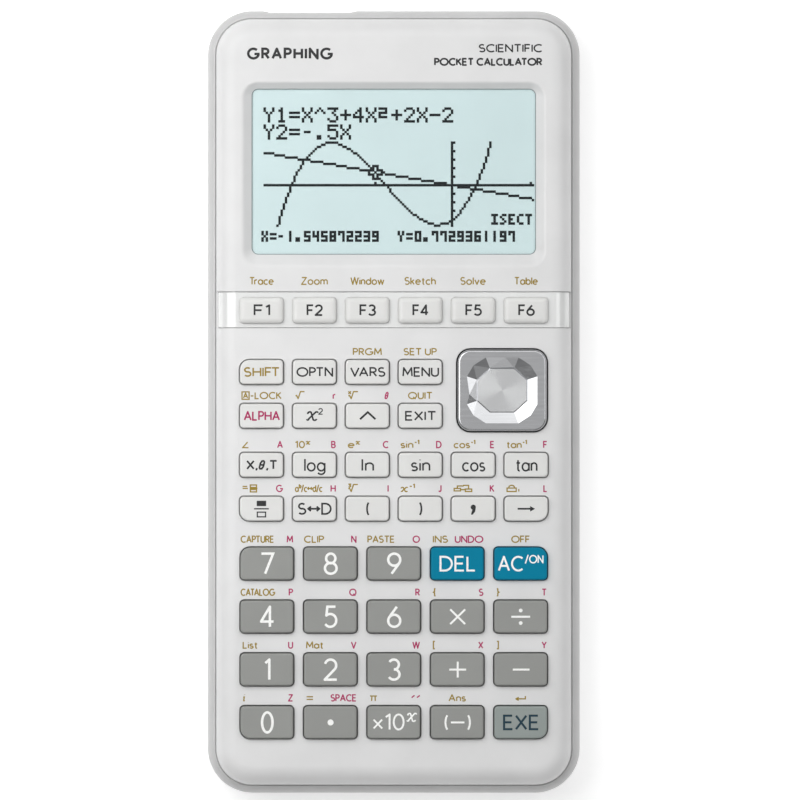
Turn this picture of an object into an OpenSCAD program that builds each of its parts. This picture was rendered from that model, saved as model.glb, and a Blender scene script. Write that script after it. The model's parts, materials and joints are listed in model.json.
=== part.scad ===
// Graphing calculator lying on its back: +X is right, +Y is towards the display and +Z comes out of the face.
// The origin is below its centre, on the plane that its feet stand on. Lengths are in millimetres.

/* [Case] */
// Width of the rear case
case_w = 83.5; // [83:0.1:86]
// Length of the rear case
case_l = 175.5; // [175:0.1:180]
// Radius of the case's corners, seen from the front
corner_r = 10; // [9:0.5:12]
// Height of the feet below the rear case
foot_h = 0.6; // [0.4:0.1:0.8]
// Height of the rear case's rim
rim_z = 12.4; // [12.2:0.1:12.6]
// Width of the ledge that the rim leaves around the front case
rim_w = 2; // [1.9:0.05:2.4]
// Height of the front face
face_z = 17.2; // [17.1:0.1:17.5]
// Radius of the roll-over between the front face and its sides
face_round = 4.5; // [3:0.5:5]
// Radius of the roll-over between the back and the sides
back_round = 4; // [3:0.5:5]
// Radius of the rim's outer edge
rim_round = 0.7; // [0.4:0.1:1]

/* [Walls] */
// Thickness of the front case
front_wall = 1.6; // [1.4:0.1:1.8]
// Thickness of the rear case's floor
rear_floor = 1.8; // [1.8:0.1:2]
// Thickness of the rear case's sides
rear_wall = 1.85; // [1.6:0.05:1.85]

/* [Display] */
// Width of the visible display
view_w = 63.6; // [60:0.2:65]
// Height of the visible display
view_h = 37.1; // [34:0.1:38]
// Distance of the display's centre from the case's centre
view_y = 51.5; // [51:0.5:52]
// Width of the sloping wall around the display
bezel_slope = 2.3; // [1.5:0.1:3]

/* [Keys] */
// Distance between the centres of the small keys
small_pitch = 11.82; // [11.6:0.01:11.9]
// Width of a small key
small_w = 9.95; // [9.5:0.05:10.1]
// Height of a small key
small_h = 5.7; // [5.4:0.1:5.9]
// Distance between the centres of the large keys across the case
large_pitch = 14.17; // [14:0.01:14.3]
// Width of a large key
large_w = 12.1; // [11.5:0.1:12.3]
// Height of a large key
large_h = 7.5; // [7:0.1:7.8]
// Corner radius of a key
key_corner = 1; // [0.6:0.1:1.4]
// Radius of the wide corners at the ends of the key blocks
wide_corner = 2.3; // [1.5:0.1:2.8]
// How far a key goes down
key_travel = 1; // [0.6:0.1:1]
// Gap around a key in its hole
key_gap = 0.2; // [0.15:0.05:0.25]

/* [Direction pad] */
// Width of the direction pad
pad_w = 19.9; // [19:0.1:20]
// Height of the direction pad
pad_h = 18.2; // [17.5:0.1:18.4]
// Position of the direction pad's centre
pad_at = [24.2, 2.6];
// Gap around the direction pad in its hole
pad_gap = 0.4; // [0.35:0.05:0.5]

/* [Battery compartment] */
// Radius of an AAA cell
cell_r = 5.25; // [5.15:0.05:5.25]
// Length of an AAA cell with its button
cell_l = 44.5; // [43.5:0.1:44.5]
// Distance between the cells' centres
cell_pitch = 10.7; // [10.6:0.05:10.8]
// Thickness of the battery cover
cover_t = 0.9; // [0.7:0.1:0.9]

/* [Hidden] */
$fn = 48;
eps = 0.01;

// Front case
front_size = [case_w - 2 * rim_w, case_l - 2 * rim_w];
front_r = corner_r - rim_w;
skirt_z = rim_z - 3;
plate_z = face_z - front_wall;
boss_r = 2.1;
boss_bottom = 4.9;
pilot_r = 1;
pilot_top = 11;
BOSSES = [[-34, 80.6], [34, 80.6], [-36.2, 14.2], [36.2, 14.2], [-34, -80.6], [34, -80.6]];

// Strip around the function keys
trim_y = 20.6;
trim_h = 8.2;
trim_t = 0.8;
trim_drop = 0.3;
trim_gap = 0.12;
trim_seat = 0.02;

// Rear case
floor_z = foot_h + rear_floor;
cavity_r = corner_r - rear_wall;
foot_r = 3.4;
FEET = [[-29, 77], [29, 77], [-29, -77], [29, -77]];
post_r = 2.6;
support_r = 2;
SUPPORTS = [[-28, -66], [28, -66], [0, -42], [-28, -18], [28, -18], [0, 10], [-27.5, 60]];
head_r = 1.9;
head_recess_r = 2.1;
head_recess_z = 2.2;
shank_r = 0.95;
shank_gap = 0.2;

// Boards
board_t = 1.6;
board_top = rim_z;
board_z = board_top - board_t;
board_half = 33.5;
board_low = -77.5;
board_high = 24;
arm_x = [-31, -24.5];
arm_high = 84;
port_arm = [-6.5, 76.5];
sheet_t = 0.6;
dome_r = 2.4;
dome_h = 1.25;

// Display stack
window_size = [view_w + 3.4, view_h + 3.4];
window_t = 1;
window_z = plate_z - window_t;
lcd_size = [66.4, 41];
lcd_t = 1.6;
lcd_z = window_z - 0.1 - lcd_t;

// Keys: every key is a cap on a wider flange, which stops it under the front case
flange_z = 14.5;
flange_t = 0.9;
flange_out = 0.6;
NAME = 0;
AT = 1;
SIZE = 2;
TOP = 3;
TINT = 4;
WHITE = "#dcdcd9";
GREY = "#9b9c99";
BLUE = "#067a9f";
SILVER = "#969e9b";
// Each row: names, height on the face, spacing, first column, key size, height of the key tops
ROWS = [
    [["f1", "f2", "f3", "f4", "f5", "f6"], 20.5, small_pitch, -2.5, [small_w, 5.9], 18.2],
    [["shift", "options", "variables", "menu"], 6.7, small_pitch, -2.5, [small_w, small_h], 18.4],
    [["alpha", "square", "power", "exit"], -3.1, small_pitch, -2.5, [small_w, small_h], 18.4],
    [["x_theta_t", "log", "ln", "sin", "cos", "tan"], -14.05, small_pitch, -2.5, [small_w, small_h], 18.4],
    [["fraction", "convert", "open_bracket", "close_bracket", "comma", "store_arrow"],
        -23.85, small_pitch, -2.5, [small_w, small_h], 18.4],
    [["7", "8", "9", "delete", "all_clear"], -36.1, large_pitch, -2, [large_w, large_h], 18.5],
    [["4", "5", "6", "multiply", "divide"], -47.95, large_pitch, -2, [large_w, large_h], 18.5],
    [["1", "2", "3", "plus", "minus"], -59.75, large_pitch, -2, [large_w, large_h], 18.5],
    [["0", "point", "exponent", "negative", "execute"], -71.55, large_pitch, -2, [large_w, large_h], 18.5]
];
BLUE_KEYS = ["delete", "all_clear"];
SILVER_KEYS = ["execute"];
// Keys with one wide corner: 0 left top, 1 right top, 2 right bottom, 3 left bottom
WIDE_CORNERS = [["key_shift", 0], ["key_fraction", 3], ["key_store_arrow", 2], ["key_7", 0],
    ["key_all_clear", 1], ["key_0", 3], ["key_execute", 2]];
function is_in(name, list) = len([for (entry = list) if (entry == name) entry]) > 0;
function tint(name, size) =
    is_in(name, BLUE_KEYS) ? BLUE : is_in(name, SILVER_KEYS) ? SILVER : size[0] == large_w ? GREY : WHITE;
function radii(name, grow) =
    [for (corner = [0:3]) grow + (is_in([name, corner], WIDE_CORNERS) ? wide_corner : key_corner)];
KEYS = [for (row = ROWS) for (i = [0:len(row[0]) - 1])
    [str("key_", row[0][i]), [(row[3] + i) * row[2], row[1]], row[4], row[5], tint(row[0][i], row[4])]];

// Direction pad on its ball
pad_corner = 2.2;
pad_top = 18.6;
pad_z = 16.6;
ball_z = 14.8;
ball_r = 1.6;
socket_r = 1.7;
stem_r = 3.2;
catch_z = 14;
catch_t = 0.8;
catch_out = 1.05;
catch_w = 6;

// Battery compartment
CELLS = [for (i = [-1.5:1.5]) i * cell_pitch];
cell_z = 2.2 + cell_r;
cell_y = 27;
box_half = 2 * cell_pitch + 0.3;
box_wall = 1.2;
box_low = 24.4;
box_high = 73.7;
box_end = 0.8;
box_top = 11.4;
ledge_z = foot_h + 1;
recess_half = 23.4;
recess_y = [24, 74.9];
cover_gap = 0.2;
hinge_y = 73.95;
hook_x = 10.7;
hook_w = 2.2;

// Sockets on the top edge
port_recess = [-29.5, -8];
port_recess_depth = 0.47;
port_recess_end = 1.8;
port_notch = [-28.6, -9];
port_notch_z = 11.1;
port_face = 86.6;
usb_x = -23.6;
usb_size = [7.7, 9.2, 3.9];
jack_x = -13.2;
jack_z = 8.3;
jack_bore_r = 1.27;
jack_collar_r = 2.4;
jack_body = [6, 8.9, 5];

// ---- Shared shapes ----

// Prism over a rectangle with its own radius at each corner: left top, right top, right bottom, left bottom
module rounded_prism(size, r, h) {
    x = size[0] / 2;
    y = size[1] / 2;
    linear_extrude(h)
        polygon([[r[0] - x, y], [x - r[1], y], [x, y - r[1]], [x, r[2] - y],
            [x - r[2], -y], [r[3] - x, -y], [-x, r[3] - y], [-x, y - r[0]]]);
    translate([r[0] - x, y - r[0], 0]) cylinder(r = r[0], h = h);
    translate([x - r[1], y - r[1], 0]) cylinder(r = r[1], h = h);
    translate([x - r[2], r[2] - y, 0]) cylinder(r = r[2], h = h);
    translate([r[3] - x, r[3] - y, 0]) cylinder(r = r[3], h = h);
}

// Flat slab with round corners, between two heights
module slab(size, r, z0, z1) {
    translate([0, 0, z0]) rounded_prism(size, [r, r, r, r], z1 - z0);
}

// Section of a slab whose two top edges are rolled over
module crown_section(w, edge, h) {
    intersection() {
        union() {
            translate([-w / 2, 0]) square([w, h - edge]);
            translate([-w / 2 + edge, 0]) square([w - 2 * edge, h]);
            for (side = [-1, 1])
                translate([side * (w / 2 - edge), h - edge]) circle(edge);
        }
        translate([-w / 2, 0]) square([w, h]);
    }
}

// Slab with round corners and a rolled-over top edge, standing on z = 0
module crowned(size, r, edge, h) {
    rotate([90, 0, 0])
        linear_extrude(size[1] - 2 * r, center = true) crown_section(size[0], edge, h);
    rotate([90, 0, 90])
        linear_extrude(size[0] - 2 * r, center = true) crown_section(size[1], edge, h);
    for (x = [-1, 1], y = [-1, 1])
        translate([x * (size[0] / 2 - r), y * (size[1] / 2 - r), 0])
            rotate_extrude()
                intersection() {
                    crown_section(2 * r, edge, h);
                    square([r, h]);
                }
}

// The front case's outer form, shrunk inwards by a distance and starting at a height
module front_form(inset, z0) {
    translate([0, 0, z0])
        crowned([front_size[0] - 2 * inset, front_size[1] - 2 * inset], front_r - inset,
            face_round - inset, face_z - inset - z0);
}

// The rear case's outer form, shrunk inwards at its sides and floor
module rear_form(side, bottom, z1) {
    translate([0, 0, z1]) mirror([0, 0, 1])
        crowned([case_w - 2 * side, case_l - 2 * side], corner_r - side,
            back_round - side, z1 - foot_h - bottom);
}

// ---- Front case, display and strip ----

module key_holes(z0, z1) {
    for (key = KEYS)
        translate([key[AT][0], key[AT][1], z0])
            rounded_prism([key[SIZE][0] + 2 * key_gap, key[SIZE][1] + 2 * key_gap],
                radii(key[NAME], key_gap), z1 - z0);
}

module pad_hole(z0, z1) {
    translate([pad_at[0], pad_at[1], 0])
        slab([pad_w + 2 * pad_gap, pad_h + 2 * pad_gap], pad_corner + pad_gap, z0, z1);
}

// Section of the display's sloping wall, from a width at the window to a wider one at the face
module slope_section(w) {
    polygon([[-w / 2, plate_z - eps], [w / 2, plate_z - eps],
        [w / 2 + bezel_slope, face_z + eps], [-w / 2 - bezel_slope, face_z + eps]]);
}

module display_opening() {
    translate([0, view_y, 0])
        intersection() {
            rotate([90, 0, 0])
                linear_extrude(view_h + 4 * bezel_slope, center = true) slope_section(view_w);
            rotate([90, 0, 90])
                linear_extrude(view_w + 4 * bezel_slope, center = true) slope_section(view_h);
        }
}

module trim_band(h) {
    translate([-case_w / 2, trim_y - h / 2, rim_z + 0.2]) cube([case_w, h, face_z]);
}

module front_case() {
    color("#e0e1df")
        difference() {
            union() {
                difference() {
                    front_form(0, skirt_z);
                    front_form(front_wall, skirt_z - 1);
                }
                for (at = BOSSES)
                    translate([at[0], at[1], boss_bottom]) cylinder(r = boss_r, h = plate_z + eps - boss_bottom);
            }
            key_holes(plate_z - 1, face_z + 1);
            pad_hole(plate_z - 1, face_z + 1);
            display_opening();
            difference() {
                trim_band(trim_h);
                front_form(trim_t + trim_drop, skirt_z);
            }
            for (at = BOSSES)
                translate([at[0], at[1], boss_bottom - 1]) cylinder(r = pilot_r, h = pilot_top - boss_bottom + 1);
            // Room for the sockets below the face's edge
            translate([port_notch[0], front_size[1] / 2 - 2 * front_wall, skirt_z - 1])
                cube([port_notch[1] - port_notch[0], 3 * front_wall, port_notch_z - skirt_z + 1]);
        }
}

module function_key_trim() {
    color("#eef0ef")
        difference() {
            intersection() {
                front_form(trim_drop, skirt_z);
                trim_band(trim_h - 2 * trim_gap);
            }
            front_form(trim_t + trim_drop - trim_seat, skirt_z - 1);
            key_holes(plate_z - 1, face_z + 1);
        }
}

module display_window() {
    color("#dfeeee", 0.35)
        translate([0, view_y, 0]) slab(window_size, 1.5, window_z, plate_z);
}

module lcd_module() {
    color("#d0e2e4")
        translate([0, view_y, 0]) {
            slab(lcd_size, 0.8, lcd_z, lcd_z + lcd_t - 0.5);
            slab([lcd_size[0] - 1.6, lcd_size[1] - 1.6], 0.5, lcd_z + lcd_t - 0.6, lcd_z + lcd_t);
        }
}

// ---- Rear case and battery compartment ----

module battery_walls() {
    difference() {
        translate([-box_half - box_wall, box_low, floor_z - 0.2])
            cube([2 * (box_half + box_wall), box_high - box_low, box_top - floor_z + 0.2]);
        translate([-box_half, box_low + box_end, 0])
            cube([2 * box_half, box_high - box_low - 2 * box_end, rim_z]);
        for (side = [-1, 1])
            translate([side * hook_x - hook_w / 2 - 0.3, box_high - 2 * box_end, floor_z])
                cube([hook_w + 0.6, 4 * box_end, rim_z]);
    }
}

module cover_opening() {
    translate([-recess_half, recess_y[0], foot_h - 1])
        cube([2 * recess_half, recess_y[1] - recess_y[0], ledge_z - foot_h + 1]);
    translate([-box_half, box_low + box_end, 0])
        cube([2 * box_half, box_high - box_low - 2 * box_end, floor_z + 1]);
    for (side = [-1, 1])
        translate([side * hook_x - hook_w / 2 - 0.3, box_high - 2 * box_end, 0])
            cube([hook_w + 0.6, recess_y[1] - box_high + 2 * box_end, floor_z + 1]);
    // Scoop for a fingernail at the cover's free end
    translate([0, recess_y[0], foot_h]) scale([1, 0.6, 1]) cylinder(r = 8, h = 1.6, center = true);
}

module port_openings() {
    y = case_l / 2;
    translate([0, 0, foot_h + back_round - 1])
        linear_extrude(rim_z)
            polygon([[port_recess[0], y + eps], [port_recess[0] + port_recess_end, y - port_recess_depth],
                [port_recess[1] - port_recess_end, y - port_recess_depth], [port_recess[1], y + eps],
                [port_recess[1], y + 1], [port_recess[0], y + 1]]);
    translate([usb_x, y, board_z - usb_size[2] / 2]) cube([usb_size[0] + 0.4, 6, usb_size[2] + 0.4], center = true);
    translate([jack_x, y + 1, jack_z]) rotate([90, 0, 0]) cylinder(r = jack_collar_r + 0.2, h = 6);
}

module rear_case() {
    color("#dcdddb")
        difference() {
            union() {
                difference() {
                    intersection() {
                        rear_form(0, 0, rim_z);
                        translate([0, 0, foot_h]) crowned([case_w, case_l], corner_r, rim_round, rim_z - foot_h);
                    }
                    rear_form(rear_wall, rear_floor, rim_z + 1);
                }
                battery_walls();
                for (at = BOSSES)
                    translate([at[0], at[1], floor_z - 0.2]) cylinder(r = post_r, h = boss_bottom - floor_z + 0.2);
                for (at = SUPPORTS)
                    translate([at[0], at[1], floor_z - 0.2]) cylinder(r = support_r, h = board_z - floor_z + 0.2);
                for (at = FEET)
                    translate([at[0], at[1], 0]) cylinder(r = foot_r, h = foot_h + 0.2);
            }
            cover_opening();
            port_openings();
            for (at = BOSSES)
                translate([at[0], at[1], 0]) {
                    cylinder(r = head_recess_r, h = head_recess_z);
                    cylinder(r = shank_r + shank_gap, h = boss_bottom + 1);
                }
        }
}

module battery_cover() {
    length = hinge_y - recess_y[0] - cover_gap;
    color("#d8d9d7") {
        translate([cover_gap - recess_half, recess_y[0] + cover_gap, foot_h])
            cube([2 * (recess_half - cover_gap), length, cover_t]);
        translate([0, hinge_y, foot_h + cover_t / 2])
            rotate([0, 90, 0])
                cylinder(r = cover_t / 2, h = 2 * (recess_half - cover_gap), center = true);
        // Ribs that keep the plate flat
        for (x = [-16, 0, 16])
            translate([x - 0.6, recess_y[0] + 6, foot_h + cover_t - eps]) cube([1.2, length - 12, 0.55]);
        // Hooks that swing over the case's floor
        for (side = [-1, 1])
            translate([side * hook_x - hook_w / 2, hinge_y, foot_h + cover_t / 2])
                rotate([90, 0, 90])
                    linear_extrude(hook_w)
                        polygon([[-0.45, 0], [0.45, 0], [0.45, 1.5], [2, 1.5], [2, 2.2], [-0.45, 2.2]]);
    }
}

module aaa_cells() {
    color("#3f4a4c")
        for (i = [0:3])
            translate([CELLS[i], cell_y + cell_l / 2, cell_z])
                rotate([i % 2 == 0 ? -90 : 90, 0, 0])
                    translate([0, 0, -cell_l / 2]) {
                        cylinder(r = cell_r, h = cell_l - 1);
                        cylinder(r = 1.9, h = cell_l);
                    }
}

module battery_contacts() {
    plate = 0.4;
    spring_end = [box_low + box_end, box_high - box_end];
    color("#c9cbcc")
        for (i = [0:3], end = [0, 1]) {
            is_spring = (i + end) % 2 == 0;
            inwards = end == 0 ? 1 : -1;
            room = (end == 0 ? cell_y - spring_end[0] : spring_end[1] - cell_y - cell_l) - 0.05;
            translate([CELLS[i], spring_end[end], cell_z])
                rotate([-90 * inwards, 0, 0]) {
                    translate([-4, -4, 0]) cube([8, 8, plate]);
                    if (is_spring)
                        cylinder(r1 = 3.4, r2 = 2.4, h = room);
                    else
                        cylinder(r = 1.6, h = room);
                }
        }
}

module case_screws() {
    color("#8f9294")
        for (at = BOSSES)
            translate([at[0], at[1], 0])
                difference() {
                    union() {
                        translate([0, 0, 0.95]) cylinder(r = head_r, h = head_recess_z - 0.95);
                        cylinder(r = shank_r, h = pilot_top - 0.3);
                    }
                    for (turn = [0, 90])
                        rotate([0, 0, turn]) cube([2.2, 0.5, 3.2], center = true);
                    cube([4, 4, 1.9], center = true);
                }
}

// ---- Boards and sockets ----

module main_board() {
    color("#2f6b45")
        translate([0, 0, board_z])
            linear_extrude(board_t) {
                translate([-board_half, board_low]) square([2 * board_half, board_high - board_low]);
                translate([arm_x[0], board_high - 1])
                    square([arm_x[1] - arm_x[0], arm_high - board_high + 1]);
                translate([arm_x[0], port_arm[1]])
                    square([port_arm[0] - arm_x[0], arm_high - port_arm[1]]);
            }
}

module keypad_membrane() {
    color("#b9bcb8")
        difference() {
            union() {
                translate([-board_half, board_low, board_top])
                    cube([2 * board_half, board_high - board_low, sheet_t]);
                for (key = KEYS)
                    translate([key[AT][0], key[AT][1], board_top])
                        cylinder(r1 = dome_r, r2 = dome_r - 0.7, h = sheet_t + dome_h);
            }
            translate([pad_at[0], pad_at[1], board_top - 1]) cylinder(r = socket_r, h = 4);
        }
}

module usb_socket() {
    w = usb_size[0] / 2;
    h = usb_size[2];
    wall = 0.35;
    translate([usb_x, port_face, board_z])
        rotate([90, 0, 0])
            difference() {
                linear_extrude(usb_size[1])
                    polygon([[-w, 0], [w, 0], [w, -h + 1.2], [w - 1.2, -h], [1.2 - w, -h], [-w, 1.2 - h]]);
                difference() {
                    translate([0, 0, -1])
                        linear_extrude(usb_size[1])
                            polygon([[wall - w, -wall], [w - wall, -wall], [w - wall, 1.3 - h],
                                [w - 1.3, wall - h], [1.3 - w, wall - h], [wall - w, 1.3 - h]]);
                    translate([-2.3, -h / 2 - 0.4, 1]) cube([4.6, 1, usb_size[1]]);
                }
            }
}

module link_jack() {
    difference() {
        union() {
            translate([jack_x - jack_body[0] / 2, port_face - 0.9 - jack_body[1], board_z - jack_body[2]])
                cube(jack_body);
            translate([jack_x, port_face + 0.3, jack_z])
                rotate([90, 0, 0]) cylinder(r = jack_collar_r, h = 3);
        }
        translate([jack_x, port_face + 1, jack_z]) rotate([90, 0, 0]) cylinder(r = jack_bore_r, h = 10);
    }
}

module port_sockets() {
    color("#4a4c4e") {
        usb_socket();
        link_jack();
    }
}

// ---- Moving pieces of the face ----

module pad_pivot() {
    color("#c4c6c6")
        translate([pad_at[0], pad_at[1], 0]) {
            translate([0, 0, board_top + 0.1]) cylinder(r = 1, h = ball_z - board_top - 0.1);
            translate([0, 0, ball_z]) sphere(ball_r);
        }
}

module direction_pad() {
    color("#c8cacb")
        translate([pad_at[0], pad_at[1], 0])
            difference() {
                union() {
                    slab([pad_w, pad_h], pad_corner, pad_z, pad_top);
                    translate([0, 0, catch_z]) cylinder(r = stem_r, h = pad_z - catch_z + eps);
                    translate([-pad_w / 2 - catch_out, -catch_w / 2, catch_z])
                        cube([pad_w + 2 * catch_out, catch_w, catch_t]);
                    translate([-catch_w / 2, -pad_h / 2 - catch_out, catch_z])
                        cube([catch_w, pad_h + 2 * catch_out, catch_t]);
                }
                // Dish around a flat centre
                translate([0, 0, pad_top - 0.8]) cylinder(r1 = 5.4, r2 = 8.2, h = 0.8 + eps);
                translate([0, 0, ball_z]) sphere(socket_r);
                translate([0, 0, catch_z - 1]) cylinder(r = socket_r, h = 1.5);
            }
}

module key_cap(key) {
    color(key[TINT])
        translate([key[AT][0], key[AT][1], flange_z]) {
            rounded_prism([key[SIZE][0] + 2 * flange_out, key[SIZE][1] + 2 * flange_out],
                radii(key[NAME], 0), flange_t);
            rounded_prism(key[SIZE], radii(key[NAME], 0), key[TOP] - flange_z);
        }
}

front_case();
rear_case();
battery_cover();
display_window();
lcd_module();
function_key_trim();
main_board();
keypad_membrane();
port_sockets();
aaa_cells();
battery_contacts();
case_screws();
pad_pivot();
direction_pad();
for (key = KEYS)
    key_cap(key);
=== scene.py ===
"""The looks of a graphing calculator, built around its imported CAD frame.

Lengths are in millimetres until mesh_object() and its relatives turn them into metres.
"""
import json
import math

import bmesh
import bpy
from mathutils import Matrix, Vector
from mathutils.geometry import delaunay_2d_cdt

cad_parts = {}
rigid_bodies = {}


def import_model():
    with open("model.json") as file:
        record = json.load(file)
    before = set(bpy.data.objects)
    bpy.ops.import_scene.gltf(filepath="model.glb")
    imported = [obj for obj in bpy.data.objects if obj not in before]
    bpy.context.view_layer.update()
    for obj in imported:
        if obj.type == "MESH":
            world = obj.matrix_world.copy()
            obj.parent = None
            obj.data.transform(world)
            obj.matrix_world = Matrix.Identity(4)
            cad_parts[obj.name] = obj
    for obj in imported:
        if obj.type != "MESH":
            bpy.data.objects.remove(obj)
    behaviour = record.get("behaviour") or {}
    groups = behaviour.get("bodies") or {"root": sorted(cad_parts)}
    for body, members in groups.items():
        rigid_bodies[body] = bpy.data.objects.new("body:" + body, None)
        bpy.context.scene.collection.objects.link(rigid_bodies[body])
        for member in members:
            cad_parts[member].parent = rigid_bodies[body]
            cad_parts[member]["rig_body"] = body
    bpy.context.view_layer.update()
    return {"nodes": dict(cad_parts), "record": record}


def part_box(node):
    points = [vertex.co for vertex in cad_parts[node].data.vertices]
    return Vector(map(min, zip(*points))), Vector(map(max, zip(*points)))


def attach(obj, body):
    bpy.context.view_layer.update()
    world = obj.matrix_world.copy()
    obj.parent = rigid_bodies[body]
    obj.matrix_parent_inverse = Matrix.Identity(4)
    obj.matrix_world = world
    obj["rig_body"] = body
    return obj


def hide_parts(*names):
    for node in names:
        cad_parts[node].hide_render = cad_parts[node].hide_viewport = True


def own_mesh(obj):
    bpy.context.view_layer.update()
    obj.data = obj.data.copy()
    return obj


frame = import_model()
MM = 0.001


def cad_box_mm(node):
    """A CAD node's lowest and highest corners in millimetres."""
    low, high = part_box(node)
    return low / MM, high / MM


# ---- Sizes that the CAD model sets ----

CASE_LOW, CASE_HIGH = cad_box_mm("rear_case")
FRONT_LOW, FRONT_HIGH = cad_box_mm("front_case")
TRIM_LOW, TRIM_HIGH = cad_box_mm("function_key_trim")
WINDOW_LOW, WINDOW_HIGH = cad_box_mm("display_window")
LCD_HIGH = cad_box_mm("lcd_module")[1]
PAD_HIGH = cad_box_mm("direction_pad")[1]
FACE_Z = FRONT_HIGH.z
PLATE_Z = WINDOW_HIGH.z
RIM_Z = CASE_HIGH.z
FRONT_SIZE = (FRONT_HIGH.x - FRONT_LOW.x, FRONT_HIGH.y - FRONT_LOW.y)
FRONT_CORNER = 8.0
SKIRT_Z = 9.4
FEET_TOP = 0.59
NOTCH_LEFT, NOTCH_RIGHT, NOTCH_TOP = -28.6, -9.0, 11.1
FACE_ROUND = 4.5
WALL = FACE_Z - PLATE_Z
FLANGE_OUT = 0.6
FLANGE_TOP = 15.4
KEY_GAP = 0.08
CAP_INSET = 0.15
KEY_CORNER = 1.0
WIDE_CORNER = 2.3
VIEW_SIZE = (63.6, 37.1)
VIEW_Y = 51.5
BEZEL_SLOPE = 1.95
VIEW_CORNER = 1.5
PAD_SIZE = (19.9, 18.2)
PAD_CORNER = 2.9
PAD_GAP = 0.32
PAD_AT = (24.2, 2.6)
DOT = 0.4762
DOTS_LEFT, DOTS_TOP = -29.59, 66.34

KEY_ROWS = [
    ["f1", "f2", "f3", "f4", "f5", "f6"],
    ["shift", "options", "variables", "menu"],
    ["alpha", "square", "power", "exit"],
    ["x_theta_t", "log", "ln", "sin", "cos", "tan"],
    ["fraction", "convert", "open_bracket", "close_bracket", "comma", "store_arrow"],
    ["7", "8", "9", "delete", "all_clear"],
    ["4", "5", "6", "multiply", "divide"],
    ["1", "2", "3", "plus", "minus"],
    ["0", "point", "exponent", "negative", "execute"],
]
# Which corner of a key is wide: 0 left top, 1 right top, 2 right bottom, 3 left bottom
WIDE_CORNERS = {"shift": 0, "fraction": 3, "store_arrow": 2, "7": 0, "all_clear": 1, "0": 3, "execute": 2}


# ---- Outlines and meshes ----

def quarter(steps, first=0):
    """Sine and cosine of even steps through a quarter turn."""
    for i in range(first, steps + 1):
        a = math.radians(90 * i / steps)
        yield math.sin(a), math.cos(a)


def outline(size, radii, steps):
    """Points of a rectangle with round corners, anticlockwise. Its radii go clockwise from the left top."""
    x, y = size[0] / 2, size[1] / 2
    left_top, right_top, right_bottom, left_bottom = radii
    corners = [
        (x - right_bottom, right_bottom - y, right_bottom, -90),
        (x - right_top, y - right_top, right_top, 0),
        (left_top - x, y - left_top, left_top, 90),
        (left_bottom - x, left_bottom - y, left_bottom, 180),
    ]
    points = []
    for cx, cy, r, start in corners:
        for i in range(steps + 1):
            a = math.radians(start + 90 * i / steps)
            points.append((cx + r * math.cos(a), cy + r * math.sin(a)))
    return points


def disc(at, radius, step=15):
    """Points of a circle, with a point every so many degrees."""
    angles = [math.radians(a) for a in range(0, 360, step)]
    return [(at[0] + radius * math.cos(a), at[1] + radius * math.sin(a)) for a in angles]


class Shape:
    """Vertices and faces of one piece, in millimetres."""

    def __init__(self):
        self.verts = []
        self.faces = []

    def loop(self, points, z, at=(0, 0)):
        """Adds a closed loop of points at one height and returns its vertex numbers."""
        first = len(self.verts)
        self.verts += [(x + at[0], y + at[1], z) for x, y in points]
        return list(range(first, len(self.verts)))

    def ring(self, size, radii, inset, z, at=(0, 0), steps=6):
        """Adds a loop with round corners, moved inwards from its size, or outwards if inset is negative."""
        smallest = 0.04
        if not isinstance(radii, list):
            radii = [radii] * 4
        inner_size = (size[0] - 2 * inset, size[1] - 2 * inset)
        return self.loop(outline(inner_size, [max(r - inset, smallest) for r in radii], steps), z, at)

    def wall(self, a, b):
        """Quads between two loops of the same length."""
        n = len(a)
        for i in range(n):
            self.faces.append((a[i], a[(i + 1) % n], b[(i + 1) % n], b[i]))

    def tower(self, loops):
        """Walls between each loop and the next."""
        for a, b in zip(loops, loops[1:]):
            self.wall(a, b)

    def ends(self, loops):
        """Caps on the first and last loops."""
        self.cap(loops[0])
        self.cap(loops[-1])

    def fill(self, outer, holes=()):
        """Triangles between an outer loop and the loops of its convex holes, all at one height."""
        numbers, owner, edges = [], [], []
        for place, loop in enumerate([outer, *holes]):
            first = len(numbers)
            edges += [(first + i, first + (i + 1) % len(loop)) for i in range(len(loop))]
            numbers += loop
            owner += [place] * len(loop)
        flat = [Vector(self.verts[i][:2]) for i in numbers]
        _, _, triangles, sources, _, _ = delaunay_2d_cdt(flat, edges, [], 1, 1e-7)
        for triangle in triangles:
            corners = [sources[i][0] for i in triangle]
            owners = {owner[i] for i in corners}
            # a triangle that has all its corners on one hole lies inside that hole
            if len(owners) > 1 or 0 in owners:
                self.faces.append(tuple(numbers[i] for i in corners))

    def cap(self, loop):
        self.faces.append(tuple(loop))

    def fan(self, loop, point):
        """Triangles from a loop to one point."""
        middle = len(self.verts)
        self.verts.append(point)
        n = len(loop)
        for i in range(n):
            self.faces.append((loop[i], loop[(i + 1) % n], middle))


def box_corners(low, high):
    return [(low[0], low[1]), (high[0], low[1]), (high[0], high[1]), (low[0], high[1])]


def block(low, high):
    """A box as a Shape."""
    shape = Shape()
    loops = [shape.loop(box_corners(low, high), z) for z in (low[2], high[2])]
    shape.tower(loops)
    shape.ends(loops)
    return shape


def clean(mesh, distance):
    """Joins points closer than the distance and turns all faces outwards."""
    bm = bmesh.new()
    bm.from_mesh(mesh)
    bmesh.ops.remove_doubles(bm, verts=bm.verts, dist=distance)
    bmesh.ops.recalc_face_normals(bm, faces=bm.faces)
    bm.to_mesh(mesh)
    bm.free()


def show(name, data):
    """A new object in the scene."""
    obj = bpy.data.objects.new(name, data)
    bpy.context.scene.collection.objects.link(obj)
    return obj


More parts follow.
